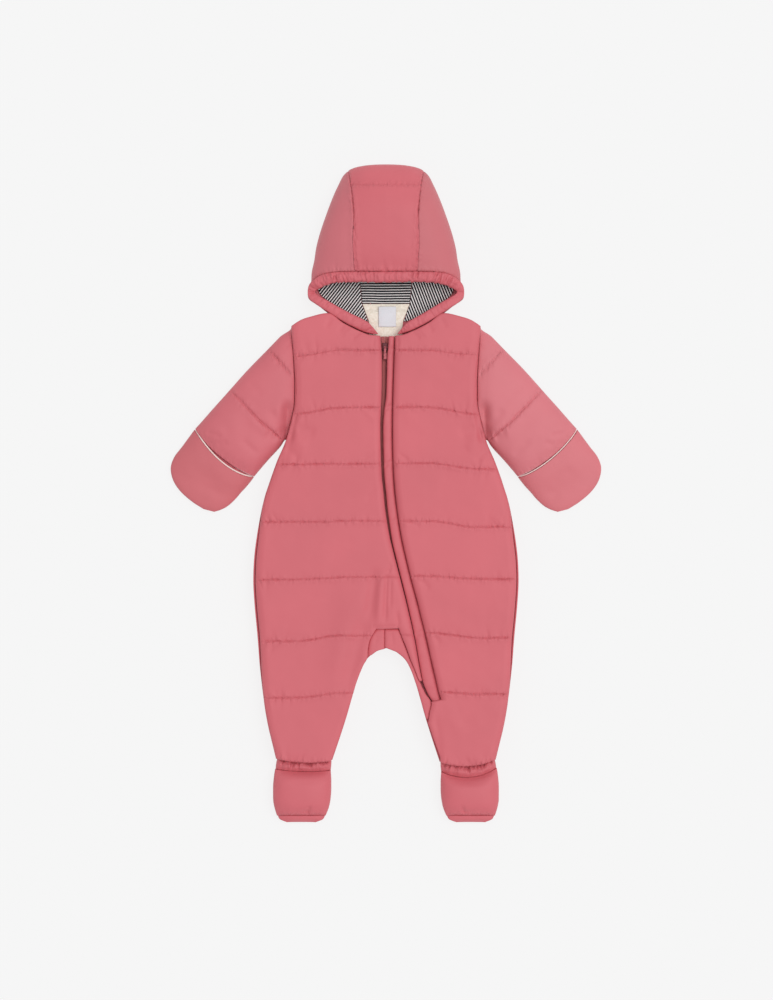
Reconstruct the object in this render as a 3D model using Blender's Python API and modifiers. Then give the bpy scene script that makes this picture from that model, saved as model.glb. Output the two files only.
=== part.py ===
"""Baby snowsuit, quilted and footed, laid flat on its back with the hood up.

Metres, +Z up. The suit lies on z = 0 with +Y from feet to hood and the wearer's right side at -X.
The tables below are in millimetres, read by Table; every other length is in metres.
Padded pieces are walls of varying thickness that lie on each other; a seam is a 0.3 mm gap.
"""

import math

import bmesh
import bpy
import numpy as np
from mathutils import Vector

MM = 0.001
GAP = 0.3 * MM            # between two pieces at a seam
HALF_GAP = GAP / 2

# Driving heights
BACK_INSIDE = 12.0 * MM   # top of the back wall, where the front lies on it
NECK_INSIDE = 8.5 * MM    # the same at the back neck
FRONT_INSIDE = 12.6 * MM  # underside of the front wall
QUILT_SEAM = 4.5 * MM     # front wall at a quilting line
QUILT_CREST = 15.0 * MM   # front wall between two quilting lines
RIM = 3.0 * MM            # wall at the side and inner leg seams
ARMHOLE_RIM = 7.0 * MM    # wall at the armhole
SIDE_ROUND = 28.0 * MM    # how far in from a side seam the padding reaches its full height
QUILT_DENT = 1.5 * MM     # how far a quilting line lifts off the ground on the back
TUBE_SLIT = 1.2 * MM      # half the height of the slit inside a sleeve or an ankle
HOOD_WALL = 6.0 * MM
LINING = 1.3 * MM         # thickness of jersey and fleece
TAPE = 1.0 * MM           # thickness of the zip tape
FLAP = 2.6 * MM           # thickness of the placket

# Steps across one quilted channel, from one line (0) to just before the next (1)
CHANNEL_STEPS = (0.0, 0.18, 0.5, 0.82)
QUILT_LINES = tuple(y * MM for y in (154, 91, 32, -31, -92, -154, -217.5))
HEM_Y = -287.4 * MM
CROTCH_STEPS = tuple(y * MM for y in (-146.5, -157.5, -168, -173, -179, -189))


class Table:
    """A short table in millimetres with named columns, read in metres between its rows."""

    def __init__(self, columns, *rows):
        self.columns = columns.split()
        self.rows = np.array(sorted(rows)) * MM

    def __call__(self, column, key):
        return float(np.interp(key, self.rows[:, 0], self.rows[:, self.columns.index(column)]))

    def column(self, name):
        return self.rows[:, self.columns.index(name)]


# Half the body's width, from the shoulder down to the ankle. Armhole from 181 to 58.
BODY = Table(
    "y half",
    (196, 63), (187, 95.5), (181, 102.7), (152, 100.7), (119, 99), (98, 99.3), (79, 103), (58, 108.5),
    (34, 118.5), (10, 127), (-11, 133.5), (-35, 138), (-67, 142.5), (-94, 143.7), (-118, 142.5),
    (-156, 139), (-192, 136.2), (-225, 132.5), (-251, 128), (-274, 122.5), (-287.4, 118.6),
)
# Inner edge of each leg, from the crotch down
INNER_LEG = Table(
    "y half",
    (-168, 0.5), (-170, 8), (-173, 13), (-179, 20), (-188, 25.5), (-206, 32.3), (-222, 37),
    (-241, 42.5), (-261, 49), (-287.4, 58.5),
)
# Top edge of the fronts: neck seam, then shoulder
NECK = Table(
    "x y",
    (0, 170.6), (16, 171.2), (26.5, 174.6), (45.5, 184), (63, 195), (80, 192.5), (95.5, 187), (102.7, 181),
)
# Top edge of the back: nape, then the same shoulder
NAPE = Table("x y", (0, 195.8), (63, 195.8), (80, 192.5), (95.5, 187), (102.7, 181))
# The strip of placket and zip between the two fronts, which slants down the left leg
ZIP = Table(
    "y left right flap",
    (170.6, -6, 9.8, 3), (150, -4.4, 9.1, 1.5), (124, -4.2, 8.2, 0.8), (106, -4.6, 7.7, 0.2),
    (89, -5.4, 7.4, -2), (71, -5.9, 7.2, -3), (36, -5.2, 7.8, -2.4), (19, -4.4, 8.6, -1.8),
    (2, -2.6, 9.9, -0.1), (-16, -0.8, 12, 1.6), (-33, 1.6, 14.3, 3.9), (-51, 4.9, 17.6, 6.6),
    (-68, 9.1, 21.5, 10.5), (-86, 13.8, 25.7, 15), (-120, 22.4, 34.9, 23.4), (-155, 30.3, 43.5, 31),
    (-189, 36.5, 51.3, 37), (-206, 40.2, 55.3, 40.6), (-225, 49.6, 59.8, 50),
)
# Seams of the crotch gusset: right of the centre seam and left of it, the wearer's
GUSSET = Table(
    "y right left",
    (-146.5, -10.5, 13.7), (-157.5, -17, 18), (-168, -19.3, 22.2), (-179, -20, 26.3), (-189, -25.5, 30.6),
    (-200, -30, 35), (-216, -35, 42.3), (-228, -38.8, 49.4), (-238, -41.6, 47.4), (-247, -44.2, 46.2),
)
GUSSET_CENTRE = -1.5 * MM
GUSSET_TOP = -146.5 * MM
LEG_SEAM_TOP = -179 * MM       # where the right gusset ends at the inner leg
STRIP_END = -203 * MM          # where the right front's strip beside the zip ends
ZIP_END = -226 * MM
GUSSET_LEFT_END = -247 * MM

# A sleeve as stations from the armhole to the cuff: the ends of a line across it, how far the
# line bows towards the hand, and the height of the padding there.
SLEEVE = (
    # outer x, y, lower x, y, bow, top
    (103.9, 181.3, 109.3, 58.8, -7, 20),
    (113, 172.5, 110.2, 57.6, -5, 25),
    (128, 157, 111, 56.6, -3, 26),
    (150, 134.5, 112, 55, -1, 25),
    (168.5, 113.8, 113.4, 52.6, 0, 14.5),
    (175, 106.5, 117.5, 47.5, 1, 22),
    (188, 92, 127, 37.3, 2.5, 25.5),
    (200, 78.3, 137, 25.8, 4, 22),
    (207.3, 70.2, 143.2, 18.4, 5, 14.5),
)
SLEEVE_MIDDLE = 9.0 * MM
CUFF = (
    # outer x, y, lower x, y, bow, top
    (205.2, 66.1, 149.6, 21.4, 4.6, 12.6),
    (201, 57, 154.5, 18, 4.5, 12),
    (197, 46, 160, 14, 4, 10.5),
)
CUFF_MIDDLE = 7.0 * MM
CUFF_REST = 2.4 * MM
# The fold-over mitten, from the piped edge to the fingertips
MITTEN = (
    # outer x, y, inner x, y, flap bow, back bow, top, inside
    (208.5, 68.2, 144.6, 16.7, 9, 6, 18, 15.6),
    (221.5, 51.5, 151, 8.5, 6, 5, 16, 13.6),
    (230.5, 39.5, 157.5, 1.5, 4, 4, 13.5, 9),
    (234.3, 27, 163, -5, 2, 2, 11, 5),
    (231.5, 14, 168.5, -10.5, 1, 1, 10, 4.8),
    (223.5, 2, 174, -14.8, 0, 0, 9, 4.6),
    (211, -9, 180.5, -18, 0, 0, 7.6, 4.2),
    (198.5, -17, 187, -20, 0, 0, 5.2, 3),
)
MITTEN_RIM = 4.6 * MM
MITTEN_FLOOR = 2.0 * MM
PIPING_RADIUS = 1.0 * MM

ANKLE = (
    # outer x, y, inner x, y, bow, top
    (118.2, -287.9, 59.2, -288.2, 1.5, 15),
    (119, -294, 59.6, -295, 3, 19),
    (120, -300.8, 60, -301, 1.5, 15),
)
ANKLE_MIDDLE = 8.0 * MM
# A bootie from the ankle to the toe
BOOTIE = Table(
    "y inner outer top",
    (-303, 60, 120.4, 15.5), (-308, 59.6, 121.6, 22), (-320, 59.4, 122.6, 25.5), (-332, 60.2, 122.5, 25.5),
    (-341, 62, 121, 23), (-349.6, 65.5, 118.3, 15),
)
# Its toe, which turns up from the ground by lift at its tip
TOE = Table(
    "y inner outer top lift",
    (-350, 65.7, 118.1, 13, 0), (-354.5, 70.4, 113.4, 11.5, 0), (-357.3, 80, 104, 7, 1.75),
)
BOOTIE_INSIDE = 9.6 * MM
SOLE_INSIDE = 9.0 * MM

# The hood as rings: half its width, half the width of its centre panel, and its height
HOOD = Table(
    "y half centre top",
    (356, 27.2, 26.4, 17), (352, 39.4, 37.6, 25), (347, 45, 40.3, 31), (335, 51.6, 38.6, 38),
    (323, 57, 36.8, 44),
    (303, 64.3, 35, 48), (281, 72, 34.2, 47), (266, 75.8, 33.8, 45), (253, 77.8, 33.2, 42),
    (240, 80.6, 32, 37), (228.5, 81.5, 29, 32), (217.5, 85, 28, 29), (211, 83.5, 27.6, 27.5),
    (204, 73.5, 26.6, 26.5), (196.2, 63.5, 26, 26),
)
CROWN_Y = 357.3 * MM
# Across half a ring: share of the width against share of the height, over the top and underneath
HOOD_OVER = ((0, 1), (0.3, 0.985), (0.55, 0.93), (0.75, 0.81), (0.9, 0.63), (0.97, 0.46), (1, 0.3))
HOOD_UNDER = ((0, 0), (0.8, 0), (0.9, 0.02), (0.97, 0.12), (1, 0.3))
HOOD_ROWS = tuple(y * MM for y in (347, 341, 332.5, 323, 308, 292, 276, 262, 252, 243))
MOUTH_ROWS = tuple(y * MM for y in (236, 228.5, 217.5, 211, 204, 196.2))
CROWN_QUILT_Y = 332.5 * MM
CROWN_QUILT_DEPTH = 4.0 * MM
# Upper seam of the brim, the lower end of the hood's panels above the face
BRIM = Table("x y", (0, 242.2), (33, 243), (55, 242), (70, 236.5), (80, 230), (86, 226))
# The elastic casing round the face, from the chin round the corner to the middle of the brim
CASING = (
    # face x, y, outer x, y, bottom, top
    (10.3, 173, 15, 172.6, 12.8, 19.5),
    (16.5, 180.5, 26, 175.8, 12.8, 24),
    (23, 186.5, 36, 180.4, 12.8, 26),
    (39.5, 195.2, 45.3, 185.3, 12.8, 27),
    (57, 205.2, 62.8, 196.4, 12.8, 27),
    (74.5, 216.5, 84, 212, 12.8, 26),
    (76, 219, 86, 220, 12.2, 26),
    (76.2, 221, 80.5, 229.4, 13.5, 27),
    (60, 230.6, 60, 240, 18, 33),
    (30, 230.8, 32, 242.4, 22, 37),
    (0, 230.6, 0, 241.6, 23.5, 38.5),
)
CASING_RING = ((0, 0.5), (0.15, 0.9), (0.5, 1), (0.85, 0.9), (1, 0.5), (0.85, 0.1), (0.5, 0), (0.15, 0.1))

# Linings that the face opening shows: half the neck lining, and the outer edge of a side lining
NECK_LINING = Table("y half", (162, 20), (176, 18), (186, 18.5), (196, 22), (206, 25.5))
SIDE_LINING = Table(
    "y inner outer",
    (186.5, 18.9, 21), (192, 20.9, 34), (199, 23.3, 45), (206, 25.8, 57), (214, 26.6, 64), (226, 27.8, 64),
    (238, 29, 63.5),
)
NAPE_STEP = (196.3 * MM, 200.5 * MM)           # where the linings step down past the nape seam
LABEL = (19 * MM, 22 * MM, 0.7 * MM)
LABEL_AT = (1.5 * MM, 192 * MM)

# Zip slider and its pull tab
SLIDER_AT = Vector((-1, 158.5, 18.6)) * MM     # the pin that the tab turns on
SLIDER_BODY = Vector((5.2, 8.6, 2.2)) * MM
SLIDER_TOP = 16.7 * MM
LUG = Vector((0.9, 2.6, 3.4)) * MM
LUG_X = 2.15 * MM
PIN_RADIUS = 0.45 * MM
EYE_RADIUS = 1.5 * MM
EYE_BORE = 0.8 * MM
EYE_WIDTH = 2.7 * MM
TAB_NECK = Vector((2.2, 6.0, 0.9)) * MM
TAB_GRIP = Vector((3.6, 7.5, 1.3)) * MM

TAFFETA = dict(colour=(0.60, 0.145, 0.175), roughness=0.55)
FLEECE = dict(colour=(0.80, 0.74, 0.62), roughness=0.95)
JERSEY = dict(colour=(0.20, 0.21, 0.26), roughness=0.9)
TRIM = dict(colour=(0.83, 0.62, 0.58), roughness=0.6)
WOVEN = dict(colour=(0.78, 0.78, 0.84), roughness=0.7)
METAL = dict(colour=(0.35, 0.22, 0.21), roughness=0.35, metallic=0.8)


# ---------------------------------------------------------------- scene and materials

def clear_scene():
    for thing in list(bpy.data.objects):
        bpy.data.objects.remove(thing)


def new_collection(name):
    collection = bpy.data.collections.new(name)
    bpy.context.scene.collection.children.link(collection)
    return collection


def material(name, colour, roughness, metallic=0.0):
    made = bpy.data.materials.new(name)
    made.use_nodes = True
    shader = made.node_tree.nodes["Principled BSDF"]
    shader.inputs["Base Color"].default_value = (*colour, 1)
    shader.inputs["Roughness"].default_value = roughness
    shader.inputs["Metallic"].default_value = metallic
    return made


def place(mesh, name, looks):
    """Puts a mesh in the suit's collection under its node name, with its own material."""
    mesh.materials.append(material(name, **looks))
    for polygon in mesh.polygons:
        polygon.use_smooth = True
    piece = bpy.data.objects.new(name, mesh)
    suit.objects.link(piece)
    return piece


# ---------------------------------------------------------------- walls

def wall(name, outer, inner, looks, closed=False, kept=lambda row, column: True):
    """A closed wall between two grids of points, rows first. closed joins each row's ends."""
    rows, columns = len(outer), len(outer[0])
    form = bmesh.new()
    sides = [[[form.verts.new(p) for p in row] for row in grid] for grid in (outer, inner)]

    def cell(grid, row, column):
        after = (column + 1) % columns
        return [grid[row][column], grid[row][after], grid[row + 1][after], grid[row + 1][column]]

    spans = columns if closed else columns - 1
    cells = [(r, c) for r in range(rows - 1) for c in range(spans) if kept(r, c)]
    count = {}
    for r, c in cells:
        near, far = cell(sides[0], r, c), cell(sides[1], r, c)
        form.faces.new(near)
        form.faces.new(far[::-1])
        for k in range(4):
            edge = (near[k], near[(k + 1) % 4], far[(k + 1) % 4], far[k])
            key = frozenset(edge[:2])
            count.setdefault(key, []).append(edge)
    for found in count.values():
        if len(found) == 1:
            a, b, b_far, a_far = found[0]
            form.faces.new((b, a, a_far, b_far))
    loose = [v for v in form.verts if not v.link_faces]
    bmesh.ops.delete(form, geom=loose, context="VERTS")
    bmesh.ops.recalc_face_normals(form, faces=form.faces)
    mesh = bpy.data.meshes.new(name)
    form.to_mesh(mesh)
    form.free()
    return place(mesh, name, looks)


def loft(name, rings, looks):
    """A closed solid through rings with the same number of points, capped at both ends."""
    form = bmesh.new()
    loops = [[form.verts.new(p) for p in ring] for ring in rings]
    for near, far in zip(loops, loops[1:]):
        for k in range(len(near)):
            after = (k + 1) % len(near)
            form.faces.new((near[k], near[after], far[after], far[k]))
    form.faces.new(loops[0])
    form.faces.new(loops[-1][::-1])
    bmesh.ops.recalc_face_normals(form, faces=form.faces)
    mesh = bpy.data.meshes.new(name)
    form.to_mesh(mesh)
    form.free()
    return place(mesh, name, looks)


def mirrored(points):
    """The same grid or rings on the wearer's other side."""
    return [[(-x, y, z) for x, y, z in row] for row in points]


def between(a, b, share):
    return a + (b - a) * share


def dome(across):
    """1 in the middle of a padded width, 0 at both its edges."""
    return math.sqrt(max(0.0, 1 - abs(2 * across - 1) ** 2.6))


def rise(distance, reach):
    """A quarter round: 0 at an edge, 1 from reach inwards."""
    share = min(1.0, max(0.0, distance / reach))
    return math.sqrt(1 - (1 - share) ** 2)


def puff(y):
    """0 on a quilting line, 1 halfway between two."""
    lines = (215 * MM, *QUILT_LINES, HEM_Y)
    for upper, lower in zip(lines, lines[1:]):
        if lower <= y <= upper:
            share = (y - lower) / (upper - lower)
            return (1 - (2 * share - 1) ** 2) ** 0.6
    return 0.0


# ---------------------------------------------------------------- body

def body_rows():
    """Rows down the body: the yoke, each quilted channel, and the extra rows of the crotch."""
    rows = [196 * MM, 181 * MM, 168 * MM, 158 * MM]
    lines = (*QUILT_LINES, HEM_Y)
    for upper, lower in zip(lines, lines[1:]):
        rows += [between(upper, lower, step) for step in CHANNEL_STEPS]
    rows += [*CROTCH_STEPS, -225 * MM, -228 * MM, HEM_Y]
    kept = []
    for row in sorted(rows, reverse=True):
        if not kept or kept[-1] - row > 1.5 * MM:
            kept.append(row)
    return kept


def under_edge(edge, x, y):
    """Squeezes the rows above the first quilting line under the neck or shoulder edge."""
    top, first = 196 * MM, QUILT_LINES[0]
    if y <= first:
        return y
    return between(first, edge("y", abs(x)), (y - first) / (top - first))


def side_rim(y):
    """The wall's thickness at its side edge: a soft ridge at the armhole, thin elsewhere."""
    return between(RIM, ARMHOLE_RIM, rise(min(y - 50 * MM, 190 * MM - y), 14 * MM))


def front_height(y, to_side, to_zip):
    """Thickness of the front wall, from its distances to the nearest side and to the zip."""
    full = between(QUILT_SEAM, QUILT_CREST, puff(y))
    rim = min(side_rim(y), full)
    at_zip = between(0.55, 1.0, rise(to_zip, 14 * MM))
    return between(rim, full * at_zip, rise(to_side, SIDE_ROUND))


def front_grid(lines, to_side, to_zip):
    """Outer and inner grids of a front. lines gives the x of every column in a row."""
    outer, inner = [], []
    for y in body_rows():
        xs = lines(y)
        ys = [under_edge(NECK, x, y) for x in xs]
        heights = [front_height(v, to_side(x, y), to_zip(x, y)) for x, v in zip(xs, ys)]
        outer.append([(x, v, FRONT_INSIDE + height) for x, v, height in zip(xs, ys, heights)])
        inner.append([(x, v, FRONT_INSIDE) for x, v in zip(xs, ys)])
    return outer, inner


def spread(start, end, shares):
    return [between(start, end, share) for share in shares]


def body_half(y):
    """Half the body's width for a row that under_edge squeezes below the shoulder."""
    return BODY("half", min(y, 181 * MM))


# Columns of a front from its side seam inwards; the corners of the neck and shoulder fall on them
OUTWARD = (0, 0.03, 0.08, 0.25, 0.43, 0.62, 0.83, 1)
STRIP = (0, 0.5, 1)


def build_front_right():
    def leg_edge(y):
        if y > GUSSET_TOP:
            return GUSSET("right", GUSSET_TOP)
        if y > LEG_SEAM_TOP:
            return GUSSET("right", y) - GAP
        return -INNER_LEG("half", y) - GAP

    def lines(y):
        zip_x = ZIP("left", y) - GAP
        strip_x = min(GUSSET("left", min(y, GUSSET_TOP)) + GAP, zip_x - GAP)
        edge = min(leg_edge(y), zip_x - 2 * GAP)
        side = -body_half(y)
        middle = spread(edge, strip_x, (0.5,))
        return spread(side, edge, OUTWARD) + middle + spread(strip_x, zip_x, STRIP)

    columns = len(OUTWARD)
    rows = body_rows()
    gusset_row = next(i for i, y in enumerate(rows) if y <= GUSSET_TOP)
    strip_end = next(i for i, y in enumerate(rows) if y <= STRIP_END)

    def kept(row, column):
        if column in (columns - 1, columns):
            return row < gusset_row
        return column < columns - 1 or row < strip_end

    def to_side(x, y):
        outward = x + body_half(y)
        if y > GUSSET_TOP:
            return outward
        return min(outward, abs(x - leg_edge(y)) + 6 * MM) if x < 0 else SIDE_ROUND

    outer, inner = front_grid(lines, to_side, lambda x, y: max(0.0, ZIP("left", y) - x))
    wall("front_right", outer, inner, TAFFETA, kept=kept)


def build_front_left():
    def start(y):
        if y > ZIP_END:
            return ZIP("right", y) + GAP
        gusset = GUSSET("left", y) if y > GUSSET_LEFT_END else 0
        return max(gusset, INNER_LEG("half", y)) + GAP

    def lines(y):
        return spread(body_half(y), start(y), (*OUTWARD[:-1], 0.935, 1))

    def to_side(x, y):
        outward = body_half(y) - x
        return outward if y > ZIP_END else min(outward, x - start(y) + 3 * MM)

    def to_zip(x, y):
        return x - start(y) if y > ZIP_END else SIDE_ROUND

    outer, inner = front_grid(lines, to_side, to_zip)
    wall("front_left", outer, inner, TAFFETA)


def build_gusset():
    """Two halves of the crotch gusset, on either side of its centre seam."""
    centre = {"right": GUSSET_CENTRE - HALF_GAP, "left": GUSSET_CENTRE + HALF_GAP}
    ends = {"right": -175 * MM, "left": -243 * MM}
    for side, sign in (("right", -1), ("left", 1)):
        rows = [y for y in GUSSET.column("y")[::-1] if y >= ends[side]] + [ends[side]]
        rows = sorted({*rows, -163 * MM, -172 * MM}, reverse=True)
        outer, inner = [], []
        for y in rows:
            edge = centre[side] if y > -167.5 * MM else sign * INNER_LEG("half", y)
            seam = GUSSET(side, y)
            xs = spread(edge, seam, (0, 0.35, 1))
            round_edge = 1 if y > -150 * MM else 0.45
            tops = (RIM * 1.6, RIM * 2.2 * round_edge + RIM, RIM * 1.8)
            outer.append([(x, y, FRONT_INSIDE + top) for x, top in zip(xs, tops)])
            inner.append([(x, y, FRONT_INSIDE) for x in xs])
        wall(f"gusset_{side}", outer, inner, TAFFETA)


def build_back():
    """The back: flat on the ground, its edges turned up to the side seams, dented at the quilting."""
    shares = (0, 0.03, 0.07, 0.22, 0.387, 0.6, 0.8, 1)
    rows = body_rows()
    crotch = next(i for i, y in enumerate(rows) if y < INNER_LEG.column("y").max())

    def edges(y):
        inner = INNER_LEG("half", y) if y <= INNER_LEG.column("y").max() else 0.5 * MM
        return body_half(y), inner

    outer, inner = [], []
    for i, y in enumerate(rows):
        side, leg = edges(y)
        right = [-x for x in spread(side, leg, shares)]
        xs = right + [-x for x in reversed(right)]
        below, above = [], []
        for x in xs:
            v = under_edge(NAPE, x, y)
            at_edge = rise(side - abs(x), SIDE_ROUND)
            if i >= crotch:
                at_edge = min(at_edge, rise(abs(x) - leg + 3 * MM, SIDE_ROUND))
            inside = between(BACK_INSIDE, NECK_INSIDE, min(1, max(0, (v - 110 * MM) / (40 * MM))))
            lift = between(inside - side_rim(v), 0, at_edge)
            dent = QUILT_DENT if y in QUILT_LINES else 0
            below.append((x, v, max(lift, dent)))
            above.append((x, v, inside))
        outer.append(below)
        inner.append(above)
    middle = len(shares) - 1
    wall("back", outer, inner, TAFFETA, kept=lambda row, column: column != middle or row < crotch)


# ---------------------------------------------------------------- sleeves, cuffs and ankles

ACROSS = (0, 0.05, 0.16, 0.36, 0.64, 0.84, 0.95, 1)
MITTEN_ACROSS = (0, 0.04, 0.12, 0.24, 0.38, 0.5, 0.62, 0.76, 0.88, 0.96, 1)


def station_point(ends, bow, across):
    """A point on the bowed line between two ends given as x, y, x, y."""
    x0, y0, x1, y1 = ends
    length = math.hypot(x1 - x0, y1 - y0)
    shift = bow * 4 * across * (1 - across) / length
    return between(x0, x1, across) - (y1 - y0) * shift, between(y0, y1, across) + (x1 - x0) * shift


def tube_rings(stations, middle, rest=0.0, first=None):
    """Outer and inner rings of a flattened padded tube, open at both ends.

    first, if given, returns the x of the first ring at a y.
    """
    outer, inner = [], []
    for number, station in enumerate(stations):
        ends, bow, top = [v * MM for v in station[:4]], station[4] * MM, station[5] * MM
        inset = 5 * MM / math.hypot(ends[2] - ends[0], ends[3] - ends[1])
        fitted = first if number == 0 else None
        over, under, slit_over, slit_under = [], [], [], []
        for across in ACROSS:
            x, y = station_point(ends, bow, across)
            x = fitted(y) if fitted else x
            high = dome(across)
            over.append((x, y, between(middle, top, high)))
            under.append((x, y, between(middle, rest, high)))
            x, y = station_point(ends, bow, between(inset, 1 - inset, across))
            x = fitted(y) if fitted else x
            slit_over.append((x, y, middle + TUBE_SLIT * (0.3 + high)))
            slit_under.append((x, y, middle - TUBE_SLIT * (0.3 + high)))
        outer.append(over + under[-2:0:-1])
        inner.append(slit_over + slit_under[-2:0:-1])
    return outer, inner


def build_sleeves_and_ankles():
    def armhole(y):
        return body_half(y) + 3 * GAP

    pieces = (
        ("sleeve", SLEEVE, SLEEVE_MIDDLE, 0.0, armhole),
        ("cuff", CUFF, CUFF_MIDDLE, CUFF_REST, None),
        ("ankle_casing", ANKLE, ANKLE_MIDDLE, 0.0, None),
    )
    for name, stations, middle, rest, first in pieces:
        outer, inner = tube_rings(stations, middle, rest, first)
        wall(f"{name}_left", outer, inner, TAFFETA, closed=True)
        wall(f"{name}_right", mirrored(outer), mirrored(inner), TAFFETA, closed=True)


def both_sides(name, outer, inner, looks):
    wall(f"{name}_left", outer, inner, looks)
    wall(f"{name}_right", mirrored(outer), mirrored(inner), looks)


def build_mittens():
    flap_outer, flap_inner, back_top, back_low, edge = [], [], [], [], []
    for row in MITTEN:
        ends = [v * MM for v in row[:4]]
        flap_bow, back_bow, top, inside = (v * MM for v in row[4:])
        over, under, floor = [], [], []
        for across in MITTEN_ACROSS:
            x, y = station_point(ends, flap_bow, across)
            high = dome(across)
            over.append((x, y, between(MITTEN_RIM, top, high)))
            under.append((x, y, between(MITTEN_FLOOR + GAP, inside, high)))
            x, y = station_point(ends, back_bow, across)
            floor.append((x, y, 0.0))
        flap_outer.append(over)
        flap_inner.append(under)
        back_low.append(floor)
        back_top.append([(x, y, MITTEN_FLOOR) for x, y, z in floor])
    both_sides("mitten_flap", flap_outer, flap_inner, TAFFETA)
    both_sides("mitten_back", back_top, back_low, TAFFETA)

    # The piping runs beside the flap's open edge, on the side of the sleeve.
    ends = [v * MM for v in MITTEN[0][:4]]
    bow, top, inside = (MITTEN[0][k] * MM for k in (4, 6, 7))
    clear = PIPING_RADIUS + GAP
    for across in (0.02, *MITTEN_ACROSS[1:-1], 0.98):
        x, y = station_point(ends, bow, across)
        high = dome(across)
        ahead = station_point(ends, bow, across + 0.01)
        along = Vector((ahead[0] - x, ahead[1] - y)).normalized()
        z = (between(MITTEN_RIM, top, high) + between(MITTEN_FLOOR, inside, high)) / 2
        edge.append((x + along.y * clear, y - along.x * clear, z + 0.3 * MM))
    for side, sign in (("left", 1), ("right", -1)):
        cord(f"mitten_piping_{side}", [(sign * x, y, z) for x, y, z in edge], PIPING_RADIUS, TRIM)


def cord(name, points, radius, looks):
    """A round cord along a run of points, as a curve with a bevel."""
    curve = bpy.data.curves.new(name, "CURVE")
    curve.dimensions = "3D"
    curve.bevel_depth = radius
    curve.bevel_resolution = 1
    curve.use_fill_caps = True
    spline = curve.splines.new("POLY")
    spline.points.add(len(points) - 1)
    for point, place_at in zip(spline.points, points):
        point.co = (*place_at, 1)
    curve.materials.append(material(name, **looks))
    suit.objects.link(bpy.data.objects.new(name, curve))


def build_booties():
    """A padded upper over a sole that turns up at the toe."""
    upper_top, upper_low, sole_top, sole_low = [], [], [], []
    for y, inner, outer, top in BOOTIE.rows[::-1]:
        xs = spread(outer, inner, ACROSS)
        upper_top.append([(x, y, between(BOOTIE_INSIDE + RIM, top, dome(a))) for x, a in zip(xs, ACROSS)])
        upper_low.append([(x, y, BOOTIE_INSIDE) for x in xs])
        sole_top.append([(x, y, SOLE_INSIDE) for x in xs])
        sole_low.append([(x, y, between(SOLE_INSIDE - RIM, 0, dome(a))) for x, a in zip(xs, ACROSS)])
    for y, inner, outer, top, lift in TOE.rows[::-1]:
        xs = spread(outer, inner, ACROSS)
        edge = top if lift else SOLE_INSIDE
        sole_top.append([(x, y, between(edge, top, dome(a))) for x, a in zip(xs, ACROSS)])
        sole_low.append([(x, y, between(SOLE_INSIDE - RIM, lift, dome(a))) for x, a in zip(xs, ACROSS)])
    both_sides("bootie_upper", upper_top, upper_low, TAFFETA)
    both_sides("bootie_sole", sole_top, sole_low, TAFFETA)


# ---------------------------------------------------------------- hood

def hood_point(y, share, over, outside):
    """A point of the hood's ring at y: share of its half width, over or under, outside or inside."""
    half, top = HOOD("half", y), HOOD("top", y)
    profile = HOOD_OVER if over else HOOD_UNDER
    height = float(np.interp(share, *zip(*profile)))
    if over:
        groove = max(0.0, 1 - abs(y - CROWN_QUILT_Y) / (6 * MM))
        top -= CROWN_QUILT_DEPTH * groove * (1 if share < HOOD("centre", y) / half - 0.02 else 0)
    if outside:
        return Vector((share * half, y, height * top))
    crown = min(1.0, max(0.0, (y - 325 * MM) / (CROWN_Y - 325 * MM)))
    z = HOOD_WALL + height * (top - 2 * HOOD_WALL)
    return Vector((share * (half - HOOD_WALL), y - HOOD_WALL * crown, z))


def to_brim(point, y, weight):
    """Bends the hood's last rows to the curved seam of the brim."""
    target = BRIM("y", abs(point.x))
    point.y += (target - y) * weight
    return tuple(point)


def brim_weight(y):
    return min(1.0, max(0.0, (300 * MM - y) / (300 * MM - HOOD_ROWS[-1])))


def build_hood_sides():
    """Each side runs from its upper seam, round the outline and under to its lower seam."""
    steps = (0, 0.3, 0.55, 0.78, 0.92, 1)
    rows = (*HOOD_ROWS, *MOUTH_ROWS)
    brim_row = len(HOOD_ROWS) - 1
    outer, inner = [], []
    for y in rows:
        seam = (HOOD("centre", y) + HALF_GAP) / HOOD("half", y)
        shares = [(between(seam, 1, s), True) for s in steps]
        shares += [(between(seam, 1, s), False) for s in reversed(steps[:-1])]
        weight = brim_weight(y) if y >= HOOD_ROWS[-1] else 0
        for grid, outside in ((outer, True), (inner, False)):
            made = []
            for share, over in shares:
                point = hood_point(y, share, over, outside)
                made.append(to_brim(point, y, weight if over else 0))
            grid.append(made)
    rim = len(steps) - 1

    def kept(row, column):
        return row < brim_row or column >= rim

    for side, change in (("left", list), ("right", mirrored)):
        wall(f"hood_side_{side}", change(outer), change(inner), TAFFETA, kept=kept)


def build_hood_centre():
    """The centre panel runs from the brim over the crown and down to the nape."""
    shares = (-1, -0.6, -0.2, 0.2, 0.6, 1)
    crown = (356 * MM, 352 * MM)
    over = [(y, True) for y in (*crown, *HOOD_ROWS)]
    under = [(y, False) for y in (*crown, *HOOD_ROWS, *MOUTH_ROWS)]
    path = over[::-1] + [(CROWN_Y, None)] + under
    outer, inner = [], []
    for y, above in path:
        reach = HOOD("centre", y) - HALF_GAP
        for grid, outside in ((outer, True), (inner, False)):
            row = []
            for s in shares:
                share = abs(s) * reach / HOOD("half", y)
                if above is None:
                    upper, lower = (hood_point(356 * MM, share, o, outside) for o in (True, False))
                    point = (upper + lower) / 2
                    point.y += CROWN_Y - 356 * MM
                else:
                    point = hood_point(y, share, above, outside)
                point.x = math.copysign(point.x, s)
                row.append(to_brim(point, y, brim_weight(y) if above else 0))
            grid.append(row)
    wall("hood_centre", outer, inner, TAFFETA)


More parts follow.
